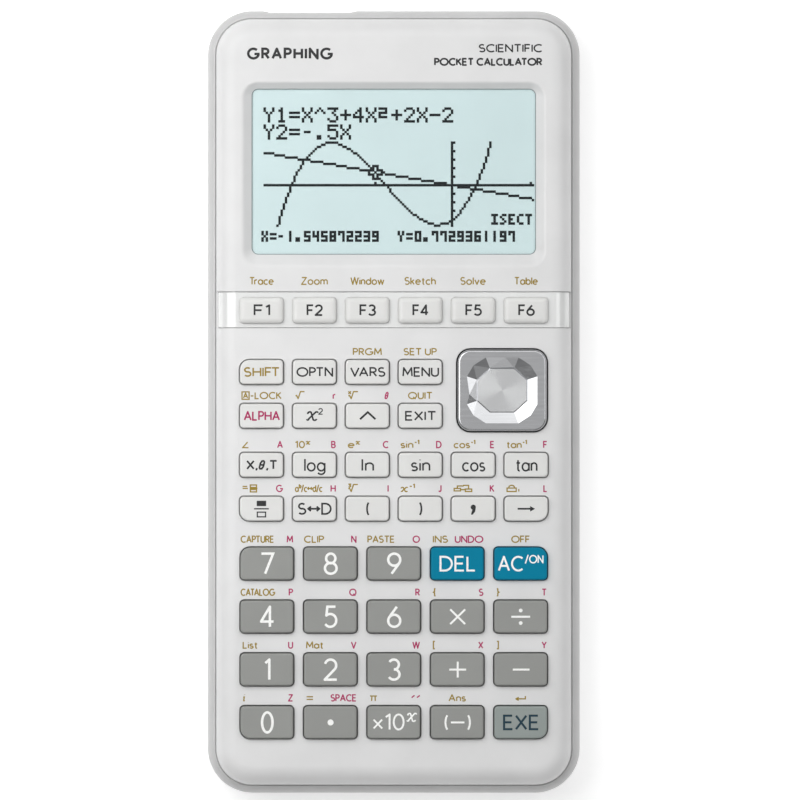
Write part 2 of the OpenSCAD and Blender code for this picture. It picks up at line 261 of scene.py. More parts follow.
def mesh_object(name, shape, material, sharp_angle=35, weighted=False):
    """Turns a Shape into a smooth-shaded Blender object in metres."""
    mesh = bpy.data.meshes.new(name)
    mesh.from_pydata([(x * MM, y * MM, z * MM) for x, y, z in shape.verts], [], shape.faces)
    obj = show(name, mesh)
    clean(mesh, 1e-8)
    finish_shading(obj, sharp_angle, weighted)
    mesh.materials.append(material)
    return obj


def finish_shading(obj, sharp_angle=35, weighted=True):
    mesh = obj.data
    mesh.polygons.foreach_set("use_smooth", [True] * len(mesh.polygons))
    mesh.set_sharp_from_angle(angle=math.radians(sharp_angle))
    if weighted:
        modifier = obj.modifiers.new("even_normals", "WEIGHTED_NORMAL")
        modifier.keep_sharp = True
        modifier.weight = 100


def apply_modifiers(obj):
    """Replaces the object's mesh by its evaluated one."""
    depsgraph = bpy.context.evaluated_depsgraph_get()
    mesh = bpy.data.meshes.new_from_object(obj.evaluated_get(depsgraph))
    obj.modifiers.clear()
    old = obj.data
    obj.data = mesh
    bpy.data.meshes.remove(old)


def cut(obj, cutters):
    """Cuts closed shapes out of an object and shades it again."""
    for number, cutter in enumerate(cutters):
        tool = mesh_object("cutter", cutter, obj.data.materials[0])
        modifier = obj.modifiers.new(f"cut_{number}", "BOOLEAN")
        modifier.operation = "DIFFERENCE"
        modifier.solver = "EXACT"
        modifier.object = tool
        bpy.context.view_layer.update()
        apply_modifiers(obj)
        bpy.data.objects.remove(tool)
    finish_shading(obj)


def place(piece, body, slot=None, stands_for=None):
    """Says what a piece rides on, and hides the CAD node it stands for if it has one. The slot argument is
    not used.
    """
    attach(piece, body)
    if stands_for:
        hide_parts(stands_for)


# ---- Materials ----

def linear(rgb):
    """Linear colour from 0 to 255 display values."""
    values = [v / 255 for v in rgb]
    return [v / 12.92 if v <= 0.04045 else ((v + 0.055) / 1.055) ** 2.4 for v in values] + [1]


class Nodes:
    """A material's node tree with short ways to add to it."""

    def __init__(self, name):
        self.material = bpy.data.materials.new(name)
        self.material.use_nodes = True
        self.tree = self.material.node_tree
        self.shader = self.tree.nodes["Principled BSDF"]
        self.place = self.add("ShaderNodeTexCoord")

    def add(self, kind, **settings):
        node = self.tree.nodes.new(kind)
        for key, value in settings.items():
            if key in node.inputs:
                node.inputs[key].default_value = value
            else:
                setattr(node, key, value)
        return node

    def link(self, out, into):
        self.tree.links.new(out, into)

    def set(self, **values):
        """Sets inputs of the shader. An underscore stands for a space in an input's name."""
        for name, value in values.items():
            self.shader.inputs[name.replace("_", " ")].default_value = value

    def noise(self, scale, detail, roughness=0.5):
        node = self.add("ShaderNodeTexNoise", Scale=scale, Detail=detail, Roughness=roughness)
        self.link(self.place.outputs["Object"], node.inputs["Vector"])
        return node.outputs["Fac"]

    def axes(self):
        """The object's X, Y and Z."""
        node = self.add("ShaderNodeSeparateXYZ")
        self.link(self.place.outputs["Object"], node.inputs[0])
        return node.outputs

    def roughen(self, value, low, high):
        """Lets a 0 to 1 value vary the roughness."""
        node = self.add("ShaderNodeMapRange")
        node.inputs["To Min"].default_value = low
        node.inputs["To Max"].default_value = high
        self.link(value, node.inputs["Value"])
        self.link(node.outputs["Result"], self.shader.inputs["Roughness"])

    def maths(self, kind, operation, *values):
        """A maths node. Its values are numbers, vectors or outputs of other nodes."""
        node = self.add(kind, operation=operation)
        for socket, value in zip(node.inputs, values):
            if isinstance(value, bpy.types.NodeSocket):
                self.link(value, socket)
            else:
                socket.default_value = value
        return node.outputs

    def tint(self, value, colour_a, colour_b, low=0.3, high=0.7):
        """Blends two base colours by a 0 to 1 value."""
        node = self.add("ShaderNodeValToRGB")
        ramp = node.color_ramp
        ramp.elements[0].position, ramp.elements[1].position = low, high
        ramp.elements[0].color, ramp.elements[1].color = colour_a, colour_b
        self.link(value, node.inputs["Fac"])
        self.link(node.outputs["Color"], self.shader.inputs["Base Color"])

    def bump(self, height, strength, distance):
        node = self.add("ShaderNodeBump", Strength=strength, Distance=distance)
        self.link(height, node.inputs["Height"])
        self.link(node.outputs["Normal"], self.shader.inputs["Normal"])


def shade(colour, factor):
    return [c * factor for c in colour[:3]] + [1]


def plastic(name, rgb, roughness, grain=0.25, coat=0.0, gloss=0.5):
    """Moulded plastic: a fine grain, slight clouds in its colour and in how it shines."""
    n = Nodes(name)
    colour = linear(rgb)
    n.tint(n.noise(90, 3), shade(colour, 0.97), shade(colour, 1.03))
    fine = n.noise(5200, 2, 0.6)
    n.roughen(fine, roughness - 0.05, roughness + 0.05)
    n.bump(fine, grain, 0.00002)
    n.set(Specular_IOR_Level=gloss, Coat_Weight=coat, Coat_Roughness=0.08)
    return n.material


def ink(name, rgb, roughness=0.5, gloss=0.3):
    """Printed ink: a little uneven in tone and texture."""
    n = Nodes(name)
    colour = linear(rgb)
    spots = n.noise(2600, 2)
    n.tint(spots, shade(colour, 0.94), shade(colour, 1.05))
    n.roughen(spots, roughness - 0.08, roughness + 0.08)
    n.bump(spots, 0.15, 0.00001)
    n.set(Specular_IOR_Level=gloss)
    return n.material


def metal(name, rgb, roughness, grain_scale=(900, 40, 900), depth=0.15):
    """Metal with fine parallel brush marks."""
    n = Nodes(name)
    colour = linear(rgb)
    stretch = n.add("ShaderNodeMapping")
    stretch.inputs["Scale"].default_value = grain_scale
    n.link(n.place.outputs["Object"], stretch.inputs["Vector"])
    marks = n.add("ShaderNodeTexNoise", Scale=1.0, Detail=3.0)
    n.link(stretch.outputs["Vector"], marks.inputs["Vector"])
    marks = marks.outputs["Fac"]
    n.tint(marks, shade(colour, 0.93), shade(colour, 1.04))
    n.roughen(marks, roughness - 0.07, roughness + 0.09)
    n.bump(marks, depth, 0.00002)
    n.set(Metallic=1.0)
    return n.material


GOLD = ink("gold_ink", (152, 129, 46))
MAGENTA = ink("magenta_ink", (172, 38, 94))
DARK = ink("dark_ink", (46, 46, 47))
WHITE_INK = ink("white_ink", (248, 248, 246))
TEAL = ink("teal_ink", (26, 56, 70))
CASE = plastic("case_plastic", (222, 222, 222), roughness=0.38)
# a grey darker than the front case's plastic: the darkening is painted shade for the rim, which sits below
# the front shell's edge
REAR_SHADE_DARKENED = plastic("rear_plastic", (200, 200, 200), roughness=0.42, grain=0.4)
FOOT = plastic("foot_rubber", (128, 129, 130), roughness=0.7, grain=0.6, gloss=0.2)
GLOSS = plastic("gloss_strip", (226, 227, 226), roughness=0.1, grain=0.03, coat=1.0, gloss=1.0)
KEY_MATERIALS = {
    "key_white": plastic("white_key_plastic", (222, 222, 220), roughness=0.33),
    "key_grey": plastic("grey_key_plastic", (148, 149, 146), roughness=0.36, gloss=0.3),
    "key_blue": plastic("blue_key_plastic", (0, 126, 158), roughness=0.36, gloss=0.1),
    "key_silver": plastic("silver_key_plastic", (148, 156, 153), roughness=0.34, gloss=0.3),
}


def spun_metal(name, rgb, centre):
    """Metal turned on a lathe: fine rings round a centre."""
    n = Nodes(name)
    colour = linear(rgb)
    vector = "ShaderNodeVectorMath"
    middle = (centre[0] * MM, centre[1] * MM, 0)
    offset = n.maths(vector, "SUBTRACT", n.place.outputs["Object"], middle)["Vector"]
    flat = n.maths(vector, "MULTIPLY", offset, (1, 1, 0))["Vector"]
    rings = n.add("ShaderNodeTexNoise", noise_dimensions="1D", Scale=9000.0, Detail=2.0)
    n.link(n.maths(vector, "LENGTH", flat)["Value"], rings.inputs["W"])
    rings = rings.outputs["Fac"]
    n.tint(rings, shade(colour, 0.94), shade(colour, 1.04))
    n.roughen(rings, 0.18, 0.28)
    n.bump(rings, 0.2, 0.000005)
    tangent = n.add("ShaderNodeTangent", direction_type="RADIAL", axis="Z")
    n.link(tangent.outputs["Tangent"], n.shader.inputs["Tangent"])
    n.set(Anisotropic=0.85, Anisotropic_Rotation=0.25, Metallic=1.0)
    return n.material


def display_glass():
    """The liquid crystal panel: a faint grid between its unlit dots."""
    n = Nodes("display_glass")
    plain = "ShaderNodeMath"
    axes = n.axes()
    lines = []
    for axis, start in (("X", DOTS_LEFT), ("Y", DOTS_TOP)):
        from_edge = n.maths(plain, "ADD", axes[axis], -start * MM)[0]
        from_line = n.maths(plain, "PINGPONG", from_edge, DOT * MM / 2)[0]
        lines.append(n.maths(plain, "LESS_THAN", from_line, 0.016 * MM)[0])
    grid = n.maths(plain, "MAXIMUM", *lines)[0]
    mixed = n.maths(plain, "MULTIPLY_ADD", grid, 0.25, n.noise(60, 2))[0]
    colour = linear((217, 238, 239))
    n.tint(mixed, colour, shade(colour, 0.93), 0.35, 0.95)
    n.set(Roughness=0.35)
    return n.material


def window_sheet():
    """Clear plastic over the display."""
    n = Nodes("window_sheet")
    smudges = n.noise(120, 3)
    n.tint(smudges, (0.2, 0.26, 0.27, 1), (0.24, 0.3, 0.31, 1))
    n.roughen(smudges, 0.04, 0.09)
    n.set(Alpha=0.04, Specular_IOR_Level=0.8)
    return n.material


def cell_jacket():
    """Battery cells: a dark sleeve with a copper-coloured band and steel ends."""
    n = Nodes("cell_jacket")
    along = n.add("ShaderNodeMapRange")
    along.inputs["From Min"].default_value = 27 * MM
    along.inputs["From Max"].default_value = 71.5 * MM
    n.link(n.axes()["Y"], along.inputs["Value"])
    ramp = n.add("ShaderNodeValToRGB")
    ramp.color_ramp.interpolation = "CONSTANT"
    elements = ramp.color_ramp.elements
    elements[0].color = linear((190, 190, 192))
    elements[1].position, elements[1].color = 0.02, linear((34, 36, 40))
    for place, colour in ((0.7, (176, 112, 62)), (0.965, (196, 196, 198))):
        element = elements.new(place)
        element.color = linear(colour)
    n.link(along.outputs["Result"], ramp.inputs["Fac"])
    n.link(ramp.outputs["Color"], n.shader.inputs["Base Color"])
    n.roughen(n.noise(700, 3), 0.22, 0.4)
    n.set(Metallic=0.6)
    return n.material


def board_laminate():
    """A circuit board: green lacquer over copper tracks."""
    n = Nodes("board_laminate")
    tracks = n.add("ShaderNodeTexBrick", Scale=420.0)
    n.link(n.place.outputs["Object"], tracks.inputs["Vector"])
    tracks.inputs["Color1"].default_value = linear((22, 92, 58))
    tracks.inputs["Color2"].default_value = linear((26, 104, 64))
    tracks.inputs["Mortar"].default_value = linear((48, 128, 78))
    n.link(tracks.outputs["Color"], n.shader.inputs["Base Color"])
    n.roughen(n.noise(1500, 2), 0.25, 0.4)
    n.bump(tracks.outputs["Fac"], 0.3, 0.00003)
    return n.material


SATIN = metal("satin_chrome", (190, 191, 193), 0.14, grain_scale=(120, 1500, 1500), depth=0.08)
SPUN = spun_metal("spun_chrome", (218, 219, 220), PAD_AT)
LCD_GLASS = display_glass()
LCD_INK = ink("display_ink", (10, 13, 16), 0.6, 0.1)
# a dark grey for a ring round the display window: painted shade where the recess wall shades the window's
# edge
WINDOW_EDGE_SHADE = ink("gasket", (128, 140, 143), 0.55)
CAD_MATERIALS = {
    "case_rear": REAR_SHADE_DARKENED,
    "window": window_sheet(),
    "circuit_board": board_laminate(),
    "membrane_rubber": plastic("membrane_rubber", (70, 72, 74), roughness=0.7, grain=0.5),
    "socket_metal": metal("socket_metal", (150, 152, 156), roughness=0.3),
    "cell_jacket": cell_jacket(),
    "contact_steel": metal("contact_steel", (196, 198, 202), roughness=0.24),
    "screw_steel": metal("screw_steel", (110, 112, 116), roughness=0.34, grain_scale=(300, 300, 300)),
    "pivot_plastic": plastic("pivot_plastic", (60, 61, 63), roughness=0.5),
}


# ---- Keys ----

class Key:
    """Where one key is, from the CAD frame."""

    def __init__(self, label, row, name):
        self.label = label
        self.name = name
        self.row = row
        low, high = cad_box_mm(name)
        self.at = ((low.x + high.x) / 2, (low.y + high.y) / 2)
        self.size = (high.x - low.x - 2 * FLANGE_OUT, high.y - low.y - 2 * FLANGE_OUT)
        self.low, self.top = low.z, high.z
        self.radii = [KEY_CORNER] * 4
        if label in WIDE_CORNERS:
            self.radii[WIDE_CORNERS[label]] = WIDE_CORNER


SLOT_OF = {part["node"]: part["material_slot"] for part in frame["record"]["subparts"]}
KEYS = {label: Key(label, row, "key_" + label) for row, labels in enumerate(KEY_ROWS) for label in labels}


def key_cap(key):
    """A cap with a rounded top edge on the flange that holds it under the case. Function keys are softer."""
    shape = Shape()
    function_key = key.row == 0
    start = 0.02 if function_key else CAP_INSET
    across, edge = (1.25, 0.85) if function_key else (0.38, 0.38)
    bevel = 0.1
    section = [
        (-FLANGE_OUT, key.low), (-FLANGE_OUT, FLANGE_TOP - bevel), (bevel - FLANGE_OUT, FLANGE_TOP),
        (start, FLANGE_TOP), (start, key.top - edge),
    ]
    for sine, cosine in quarter(12 if function_key else 7, 1):
        section.append((start + across * (1 - cosine), key.top - edge + edge * sine))
    loops = [shape.ring(key.size, key.radii, inset, z, key.at) for inset, z in section]
    shape.tower(loops)
    shape.cap(loops[0])
    shape.fill(loops[-1])
    slot = SLOT_OF[key.name]
    cap = mesh_object("cap_" + key.label, shape, KEY_MATERIALS[slot], weighted=True)
    place(cap, key.name, slot, key.name)


# ---- Front case ----

def front_rings(shape, inset):
    """The case's outer form, or a parallel one inside it, from its skirt to the edge of the flat face."""
    radius = FACE_ROUND - inset
    spring_z = FACE_Z - FACE_ROUND
    section = [(0, SKIRT_Z)]
    section += [(radius * (1 - cosine), spring_z + radius * sine) for sine, cosine in quarter(20)]
    loops = [shape.ring(FRONT_SIZE, FRONT_CORNER, inset + extra, z, steps=10) for extra, z in section]
    shape.tower(loops)
    return loops


def hole(shape, size, radii, at, gap):
    """A hole round something of this size, its upper edge rounded. Returns its highest and lowest loops."""
    size = [side + 2 * gap for side in size]
    radii = [radius + gap for radius in radii]
    round_off = 0.14
    section = [(-round_off * (1 - sine), FACE_Z - round_off * (1 - cosine)) for sine, cosine in quarter(4)]
    loops = [shape.ring(size, radii, inset, z, at) for inset, z in section + [(0, PLATE_Z)]]
    shape.tower(loops)
    return loops[0], loops[-1]


def display_recess(shape):
    """Sloping walls from the face down to the display window."""
    steps = 12
    soft = 1.5
    foot = 0.12
    lean = 0.3
    slope = math.atan2(WALL, BEZEL_SLOPE)
    # a rounded lip where the face turns down into the slope
    section = []
    for i in range(steps + 1):
        a = slope * i / steps
        out = BEZEL_SLOPE + soft * math.tan(slope / 2) - soft * math.sin(a)
        section.append((out, FACE_Z - soft * (1 - math.cos(a))))
    section += [(0, PLATE_Z + foot), (0, PLATE_Z)]
    # the upper wall is steeper than the lower one, so a wider loop sits lower on the face
    loops = [shape.ring(VIEW_SIZE, VIEW_CORNER, -out, z, (0, VIEW_Y - lean * out), 8) for out, z in section]
    shape.tower(loops)
    return loops[0], loops[-1]


def arch(depth, y_sections):
    """A strip that follows the case's form across its face: [(y, extra inset)] gives its cross sections."""
    shape = Shape()
    half = FRONT_SIZE[0] / 2
    low_z = RIM_Z + 0.25
    loops = []
    for y, shrink in y_sections:
        section = []
        for inset, order in ((depth[0] + shrink, 1), (depth[1] - shrink, -1)):
            radius = FACE_ROUND - inset
            side = [(half - inset, low_z + shrink)]
            for sine, cosine in quarter(16):
                side.append((half - FACE_ROUND + radius * cosine, FACE_Z - FACE_ROUND + radius * sine))
            path = side + [(-x, z) for x, z in reversed(side)]
            section += path[::order]
        first = len(shape.verts)
        shape.verts += [(x, y, z) for x, z in section]
        loops.append(list(range(first, len(shape.verts))))
    shape.tower(loops)
    shape.ends(loops)
    return shape


def function_key_holes():
    """Blocks that cut the function keys' holes."""
    shape = Shape()
    grow = 0.02
    for label in KEY_ROWS[0]:
        key = KEYS[label]
        loops = [shape.ring(key.size, key.radii, -grow, z, key.at) for z in (PLATE_Z - 1, FACE_Z + 1)]
        shape.tower(loops)
        shape.ends(loops)
    return shape


def front_case():
    """The front shell: its two skins, joined at the skirt and round each hole."""
    shape = Shape()
    outer = front_rings(shape, 0)
    inner = front_rings(shape, WALL)
    shape.wall(outer[0], inner[0])
    holes = [hole(shape, key.size, key.radii, key.at, KEY_GAP) for key in KEYS.values() if key.row > 0]
    holes.append(hole(shape, PAD_SIZE, [PAD_CORNER] * 4, PAD_AT, PAD_GAP))
    holes.append(display_recess(shape))
    shape.fill(outer[-1], [h[0] for h in holes])
    shape.fill(inner[-1], [h[1] for h in holes])
    case = mesh_object("front_shell", shape, CASE)
    margin = 0.12
    groove = arch((-3, 1.05), [(TRIM_LOW.y - margin, 0), (TRIM_HIGH.y + margin, 0)])
    notch = block((NOTCH_LEFT, FRONT_HIGH.y - 3, SKIRT_Z - 1), (NOTCH_RIGHT, FRONT_HIGH.y + 1, NOTCH_TOP))
    cut(case, [groove, function_key_holes(), notch])
    place(case, "case", "case_front", "front_case")


def function_strip():
    """The glossy strip that the function keys stand in."""
    soft = 0.1
    sections = [(TRIM_LOW.y, soft), (TRIM_LOW.y + soft, 0), (TRIM_HIGH.y - soft, 0), (TRIM_HIGH.y, soft)]
    drop = FACE_Z - TRIM_HIGH.z
    strip = mesh_object("function_strip", arch((drop, 1.0), sections), GLOSS)
    cut(strip, [function_key_holes()])
    place(strip, "case", "trim_gloss", "function_key_trim")


# ---- Direction pad ----

PAD_OUTER = [
    (7.87, 3.1), (6.4, 5.57), (3.64, 7.35), (0.7, 7.35), (-3.64, 7.35), (-6.4, 5.57), (-7.87, 3.1),
    (-7.87, -3.1), (-6.4, -5.57), (-3.64, -7.35), (3.64, -7.35), (6.4, -5.57), (7.87, -3.1),
]
PAD_INNER = [
    (5.65, 2.38), (2.75, 4.98), (-2.75, 4.98), (-5.65, 2.38), (-5.65, -2.38), (-2.75, -4.98), (2.75, -4.98),
    (5.65, -2.38),
]
# Depth of each inner corner below the plate: they differ a little, so the facets catch the light differently
PAD_DEPTHS = [0.95, 1.15, 0.95, 0.9, 0.9, 0.8, 0.8, 0.9]
# Facets between the outer and inner corners, by number
PAD_FACETS = [
    ("o0", "o1", "i0"), ("o1", "i1", "i0"), ("o1", "o2", "i1"), ("o2", "o3", "i1"), ("o3", "i2", "i1"),
    ("o3", "o4", "i2"), ("o4", "o5", "i2"), ("o5", "i3", "i2"), ("o5", "o6", "i3"), ("o6", "m0", "i3"),
    ("o6", "o7", "m0"), ("o7", "i4", "m0"), ("m0", "i4", "i3"), ("o7", "o8", "i4"), ("o8", "i5", "i4"),
    ("o8", "o9", "i5"), ("o9", "o10", "i6", "i5"), ("o10", "o11", "i6"), ("o11", "i7", "i6"),
    ("o11", "o12", "i7"), ("o12", "m1", "i7"), ("o12", "o0", "m1"), ("o0", "i0", "m1"), ("m1", "i0", "i7"),
]
PAD_MIDDLES = [(-7.3, -0.9, 0.06), (7.3, -1.0, 0.1)]


def direction_pad():
    """A plate with a faceted dish round a spun middle."""
    shape = Shape()
    top = PAD_HIGH.z
    edge = 0.6
    thickness = 2
    bevel = 0.15
    dish_z = top - 0.68
    rim_share = 0.955
    section = [(bevel, top - thickness), (0, top - thickness + bevel), (0, top - edge)]
    section += [(edge * (1 - cosine), top - edge + edge * sine) for sine, cosine in quarter(12, 1)]
    loops = [shape.ring(PAD_SIZE, PAD_CORNER, inset, z, PAD_AT, 12) for inset, z in section]
    shape.tower(loops)
    shape.fill(loops[0])
    outer = shape.loop(PAD_OUTER, top, PAD_AT)
    shape.fill(loops[-1], [outer])
    inner = shape.loop(PAD_INNER, top - 0.8, PAD_AT)
    for number, depth in zip(inner, PAD_DEPTHS):
        x, y, z = shape.verts[number]
        shape.verts[number] = (x, y, top - depth)
    middles = []
    for x, y, depth in PAD_MIDDLES:
        middles.append(len(shape.verts))
        shape.verts.append((x + PAD_AT[0], y + PAD_AT[1], top - depth))
    numbers = {"o": outer, "i": inner, "m": middles}
    facets_from = len(shape.faces)
    for facet in PAD_FACETS:
        shape.faces.append(tuple(numbers[corner[0]][int(corner[1:])] for corner in facet))
    rim = [(x * rim_share, y * rim_share) for x, y in PAD_INNER]
    rings = [inner]
    for share in (1, 0.66, 0.33):
        rings.append(shape.loop([(x * share, y * share) for x, y in rim], dish_z, PAD_AT))
    shape.tower(rings)
    shape.fan(rings[-1], (*PAD_AT, dish_z))
    pad = mesh_object("pad_plate", shape, SATIN, sharp_angle=9, weighted=True)
    for face in pad.data.polygons[facets_from:facets_from + len(PAD_FACETS)]:
        face.use_smooth = False
    pad.data.materials.append(SPUN)
    dish_radius = 5.9
    for face in pad.data.polygons:
        x, y, z = face.center / MM
        if abs(z - dish_z) < 0.002 and math.hypot(x - PAD_AT[0], y - PAD_AT[1]) < dish_radius:
            face.material_index = 1
    place(pad, "direction_pad", "pad_chrome", "direction_pad")
    # the stem is a socket, open below, and the ball of the post sits in it with room to tilt
    stem = Shape()
    foot, roof = 15.0, 16.45
    radius, bore_radius = 3.2, 1.75
    outer_low, outer_high = (stem.loop(disc(PAD_AT, radius, 10), z) for z in (foot, top - thickness + 0.02))
    bore_low, bore_high = (stem.loop(disc(PAD_AT, bore_radius, 10), z) for z in (foot, roof))
    stem.tower([bore_high, bore_low, outer_low, outer_high])
    stem.ends([bore_high, outer_high])
    stem = mesh_object("pad_stem", stem, CAD_MATERIALS["pivot_plastic"], weighted=True)
    place(stem, "direction_pad", "pad_chrome")


# ---- Display ----

BIG_FONT = {
    "Y": "10001 10001 01010 00100 00100 00100 00100",
    "X": "10001 10001 01010 00100 01010 10001 10001",
    "1": "00100 01100 00100 00100 00100 00100 01110",
    "2": "01110 10001 00001 00010 00100 01000 11111",
    "3": "11111 00010 00100 00010 00001 10001 01110",
    "4": "00010 00110 01010 10010 11111 00010 00010",
    "5": "11111 10000 11110 00001 00001 10001 01110",
    "=": "00000 00000 11111 00000 11111 00000 00000",
    "+": "00000 00100 00100 11111 00100 00100 00000",
    "-": "00000 00000 00000 11111 00000 00000 00000",
    "~": "00000 00000 00000 01110 00000 00000 00000",
    "^": "00100 01010 10001 00000 00000 00000 00000",
    "s": "11110 00010 11110 10000 11110 00000 00000",
    ".": "00000 00000 00000 00000 00000 01100 01100",
}
SMALL_FONT = {
    "0": "111 101 101 101 111", "1": "010 010 010 010 010", "2": "111 001 111 100 111",
    "3": "111 001 111 001 111", "4": "101 101 111 001 001", "5": "111 100 111 001 111",
    "6": "111 100 111 101 111", "7": "111 101 001 001 001", "8": "111 101 111 101 111",
    "9": "111 101 111 001 111", "X": "101 101 010 101 101", "Y": "101 101 010 010 010",
    "=": "000 111 000 111 000", "-": "000 000 110 000 000", ".": "000 000 000 110 110",
    "I": "111 010 010 010 111", "S": "011 100 010 001 110", "E": "111 100 110 100 111",
    "C": "011 100 100 100 011", "T": "111 010 010 010 010",
}
# 1 is lit and 2 is cleared
CURSOR = "0011100 0012100 1112111 1221221 1112111 0012100 0011100"


def lit_dots():
    """The dots of the graph and its figures, as (column, row) from the top left."""
    lit = set()

    def put(rows, column, row):
        for y, bits in enumerate(rows.split()):
            lit.update((column + x, row + y) for x, bit in enumerate(bits) if bit == "1")
            lit.difference_update((column + x, row + y) for x, bit in enumerate(bits) if bit == "2")

    def write(text, font, column, row, advance):
        for number, char in enumerate(text):
            put(font[char], column + number * advance, row)

    write("Y1=X^3+4Xs+2X-2", BIG_FONT, 1, 1, 6)
    write("Y2=~.5X", BIG_FONT, 1, 9, 6)
    write("ISECT", SMALL_FONT, 108, 51, 4)
    write("X=-1.545872239", SMALL_FONT, 0, 59, 4)
    write("Y=0.7729361197", SMALL_FONT, 64, 59, 4)
    columns, top_row, bottom_row = 128, 17, 56
    axis_column, axis_row = 89, 37
    across_unit, up_unit = 23.7, 8.2
    lit.update((column, axis_row) for column in range(1, columns))
    lit.update((axis_column, row) for row in range(top_row, bottom_row + 1))
    lit.update((axis_column + 1, row) for row in range(top_row, bottom_row - 2, 4))
    lit.update([(53, axis_row - 1), (126, axis_row - 1)])

    for cubed, squared, plain, constant in ((1, 4, 2, -2), (0, 0, -0.5, 0)):
        rows = []
        for column in range(columns + 1):
            x = (column - axis_column) / across_unit
            y = cubed * x ** 3 + squared * x ** 2 + plain * x + constant
            rows.append(round(axis_row - up_unit * y))
        last = columns - 1
        for column in range(1, columns):
            start, end = rows[column], rows[column + 1] if column < last else rows[column]
            run = max(abs(end - start), 1)
            for i in range(run + 1):
                row = start + round((end - start) * i / run)
                if top_row <= row <= bottom_row and (i < run or column < last):
                    lit.add((column + (1 if 2 * i > run else 0), row))
    put(CURSOR, 50, 28)
    return sorted(lit)


def dots_solid(lit, low, high):
    """One thin solid for all lit dots. Each dot bleeds a little past its own square, so neighbours join."""
    bleed = 0.05
    # every dot covers 3 by 3 cells: its middle, and narrow edges that it shares with the next dots
    filled = {(2 * column + i, 2 * row + j) for column, row in lit for i in range(3) for j in range(3)}
    shape = Shape()
    numbers = {}

    def corner(i, j, z):
        if (i, j, z) not in numbers:
            numbers[i, j, z] = len(shape.verts)
            x = DOTS_LEFT + i // 2 * DOT + (bleed if i % 2 else -bleed)
            y = DOTS_TOP - j // 2 * DOT - (bleed if j % 2 else -bleed)
            shape.verts.append((x, y, z))
        return numbers[i, j, z]

    around = ((0, 0), (1, 0), (1, 1), (0, 1))
    for i, j in sorted(filled):
        for z in (low, high):
            shape.faces.append(tuple(corner(i + a, j + b, z) for a, b in around))
        for number, (di, dj) in enumerate(((0, -1), (1, 0), (0, 1), (-1, 0))):
            if (i + di, j + dj) not in filled:
                (a, b), (c, d) = around[number], around[(number + 1) % 4]
                shape.faces.append((corner(i + a, j + b, low), corner(i + c, j + d, low),
                                    corner(i + c, j + d, high), corner(i + a, j + b, high)))
    return shape


STACK_TOP = WINDOW_HIGH.z - 0.16
STACK_SIZE = (VIEW_SIZE[0] + 0.4, VIEW_SIZE[1] + 0.4)


def view_block(grow, low, high):
    """A block of the display's layers, or of the room for them."""
    shape = Shape()
    loops = [shape.ring(STACK_SIZE, VIEW_CORNER + grow, -grow, z, (0, VIEW_Y), 8) for z in (low, high)]
    shape.tower(loops)
    shape.ends(loops)
    return shape


def display():
    """The display panel, its glass, the lit dots on that and a thin dark ring round the window, painted shade
    for the shadow at the window's edge.
    """
    panel = from_cad("lcd_module", "display_panel", LCD_GLASS)
    glass = view_block(0, LCD_HIGH.z + 0.01, STACK_TOP)
    place(mesh_object("display_stack", glass, LCD_GLASS), "case", "lcd_glass")
    dots = dots_solid(lit_dots(), STACK_TOP + 0.01, STACK_TOP + 0.03)
    place(mesh_object("display_dots", dots, LCD_INK), "case")
    # a thin dark ring along the window's edge: painted shade, not a part of the calculator
    outer_size = (VIEW_SIZE[0] - 0.02, VIEW_SIZE[1] - 0.02)
    section = [(0, 0.005), (0, 0.05), (0.16, 0.03), (0.16, 0.005)]
    section = [(inset, WINDOW_HIGH.z + height) for inset, height in section]
    gasket = hoop(outer_size, VIEW_CORNER, section, (0, VIEW_Y), 8)
    place(mesh_object("display_edge", gasket, WINDOW_EDGE_SHADE), "case")


# ---- Lettering ----

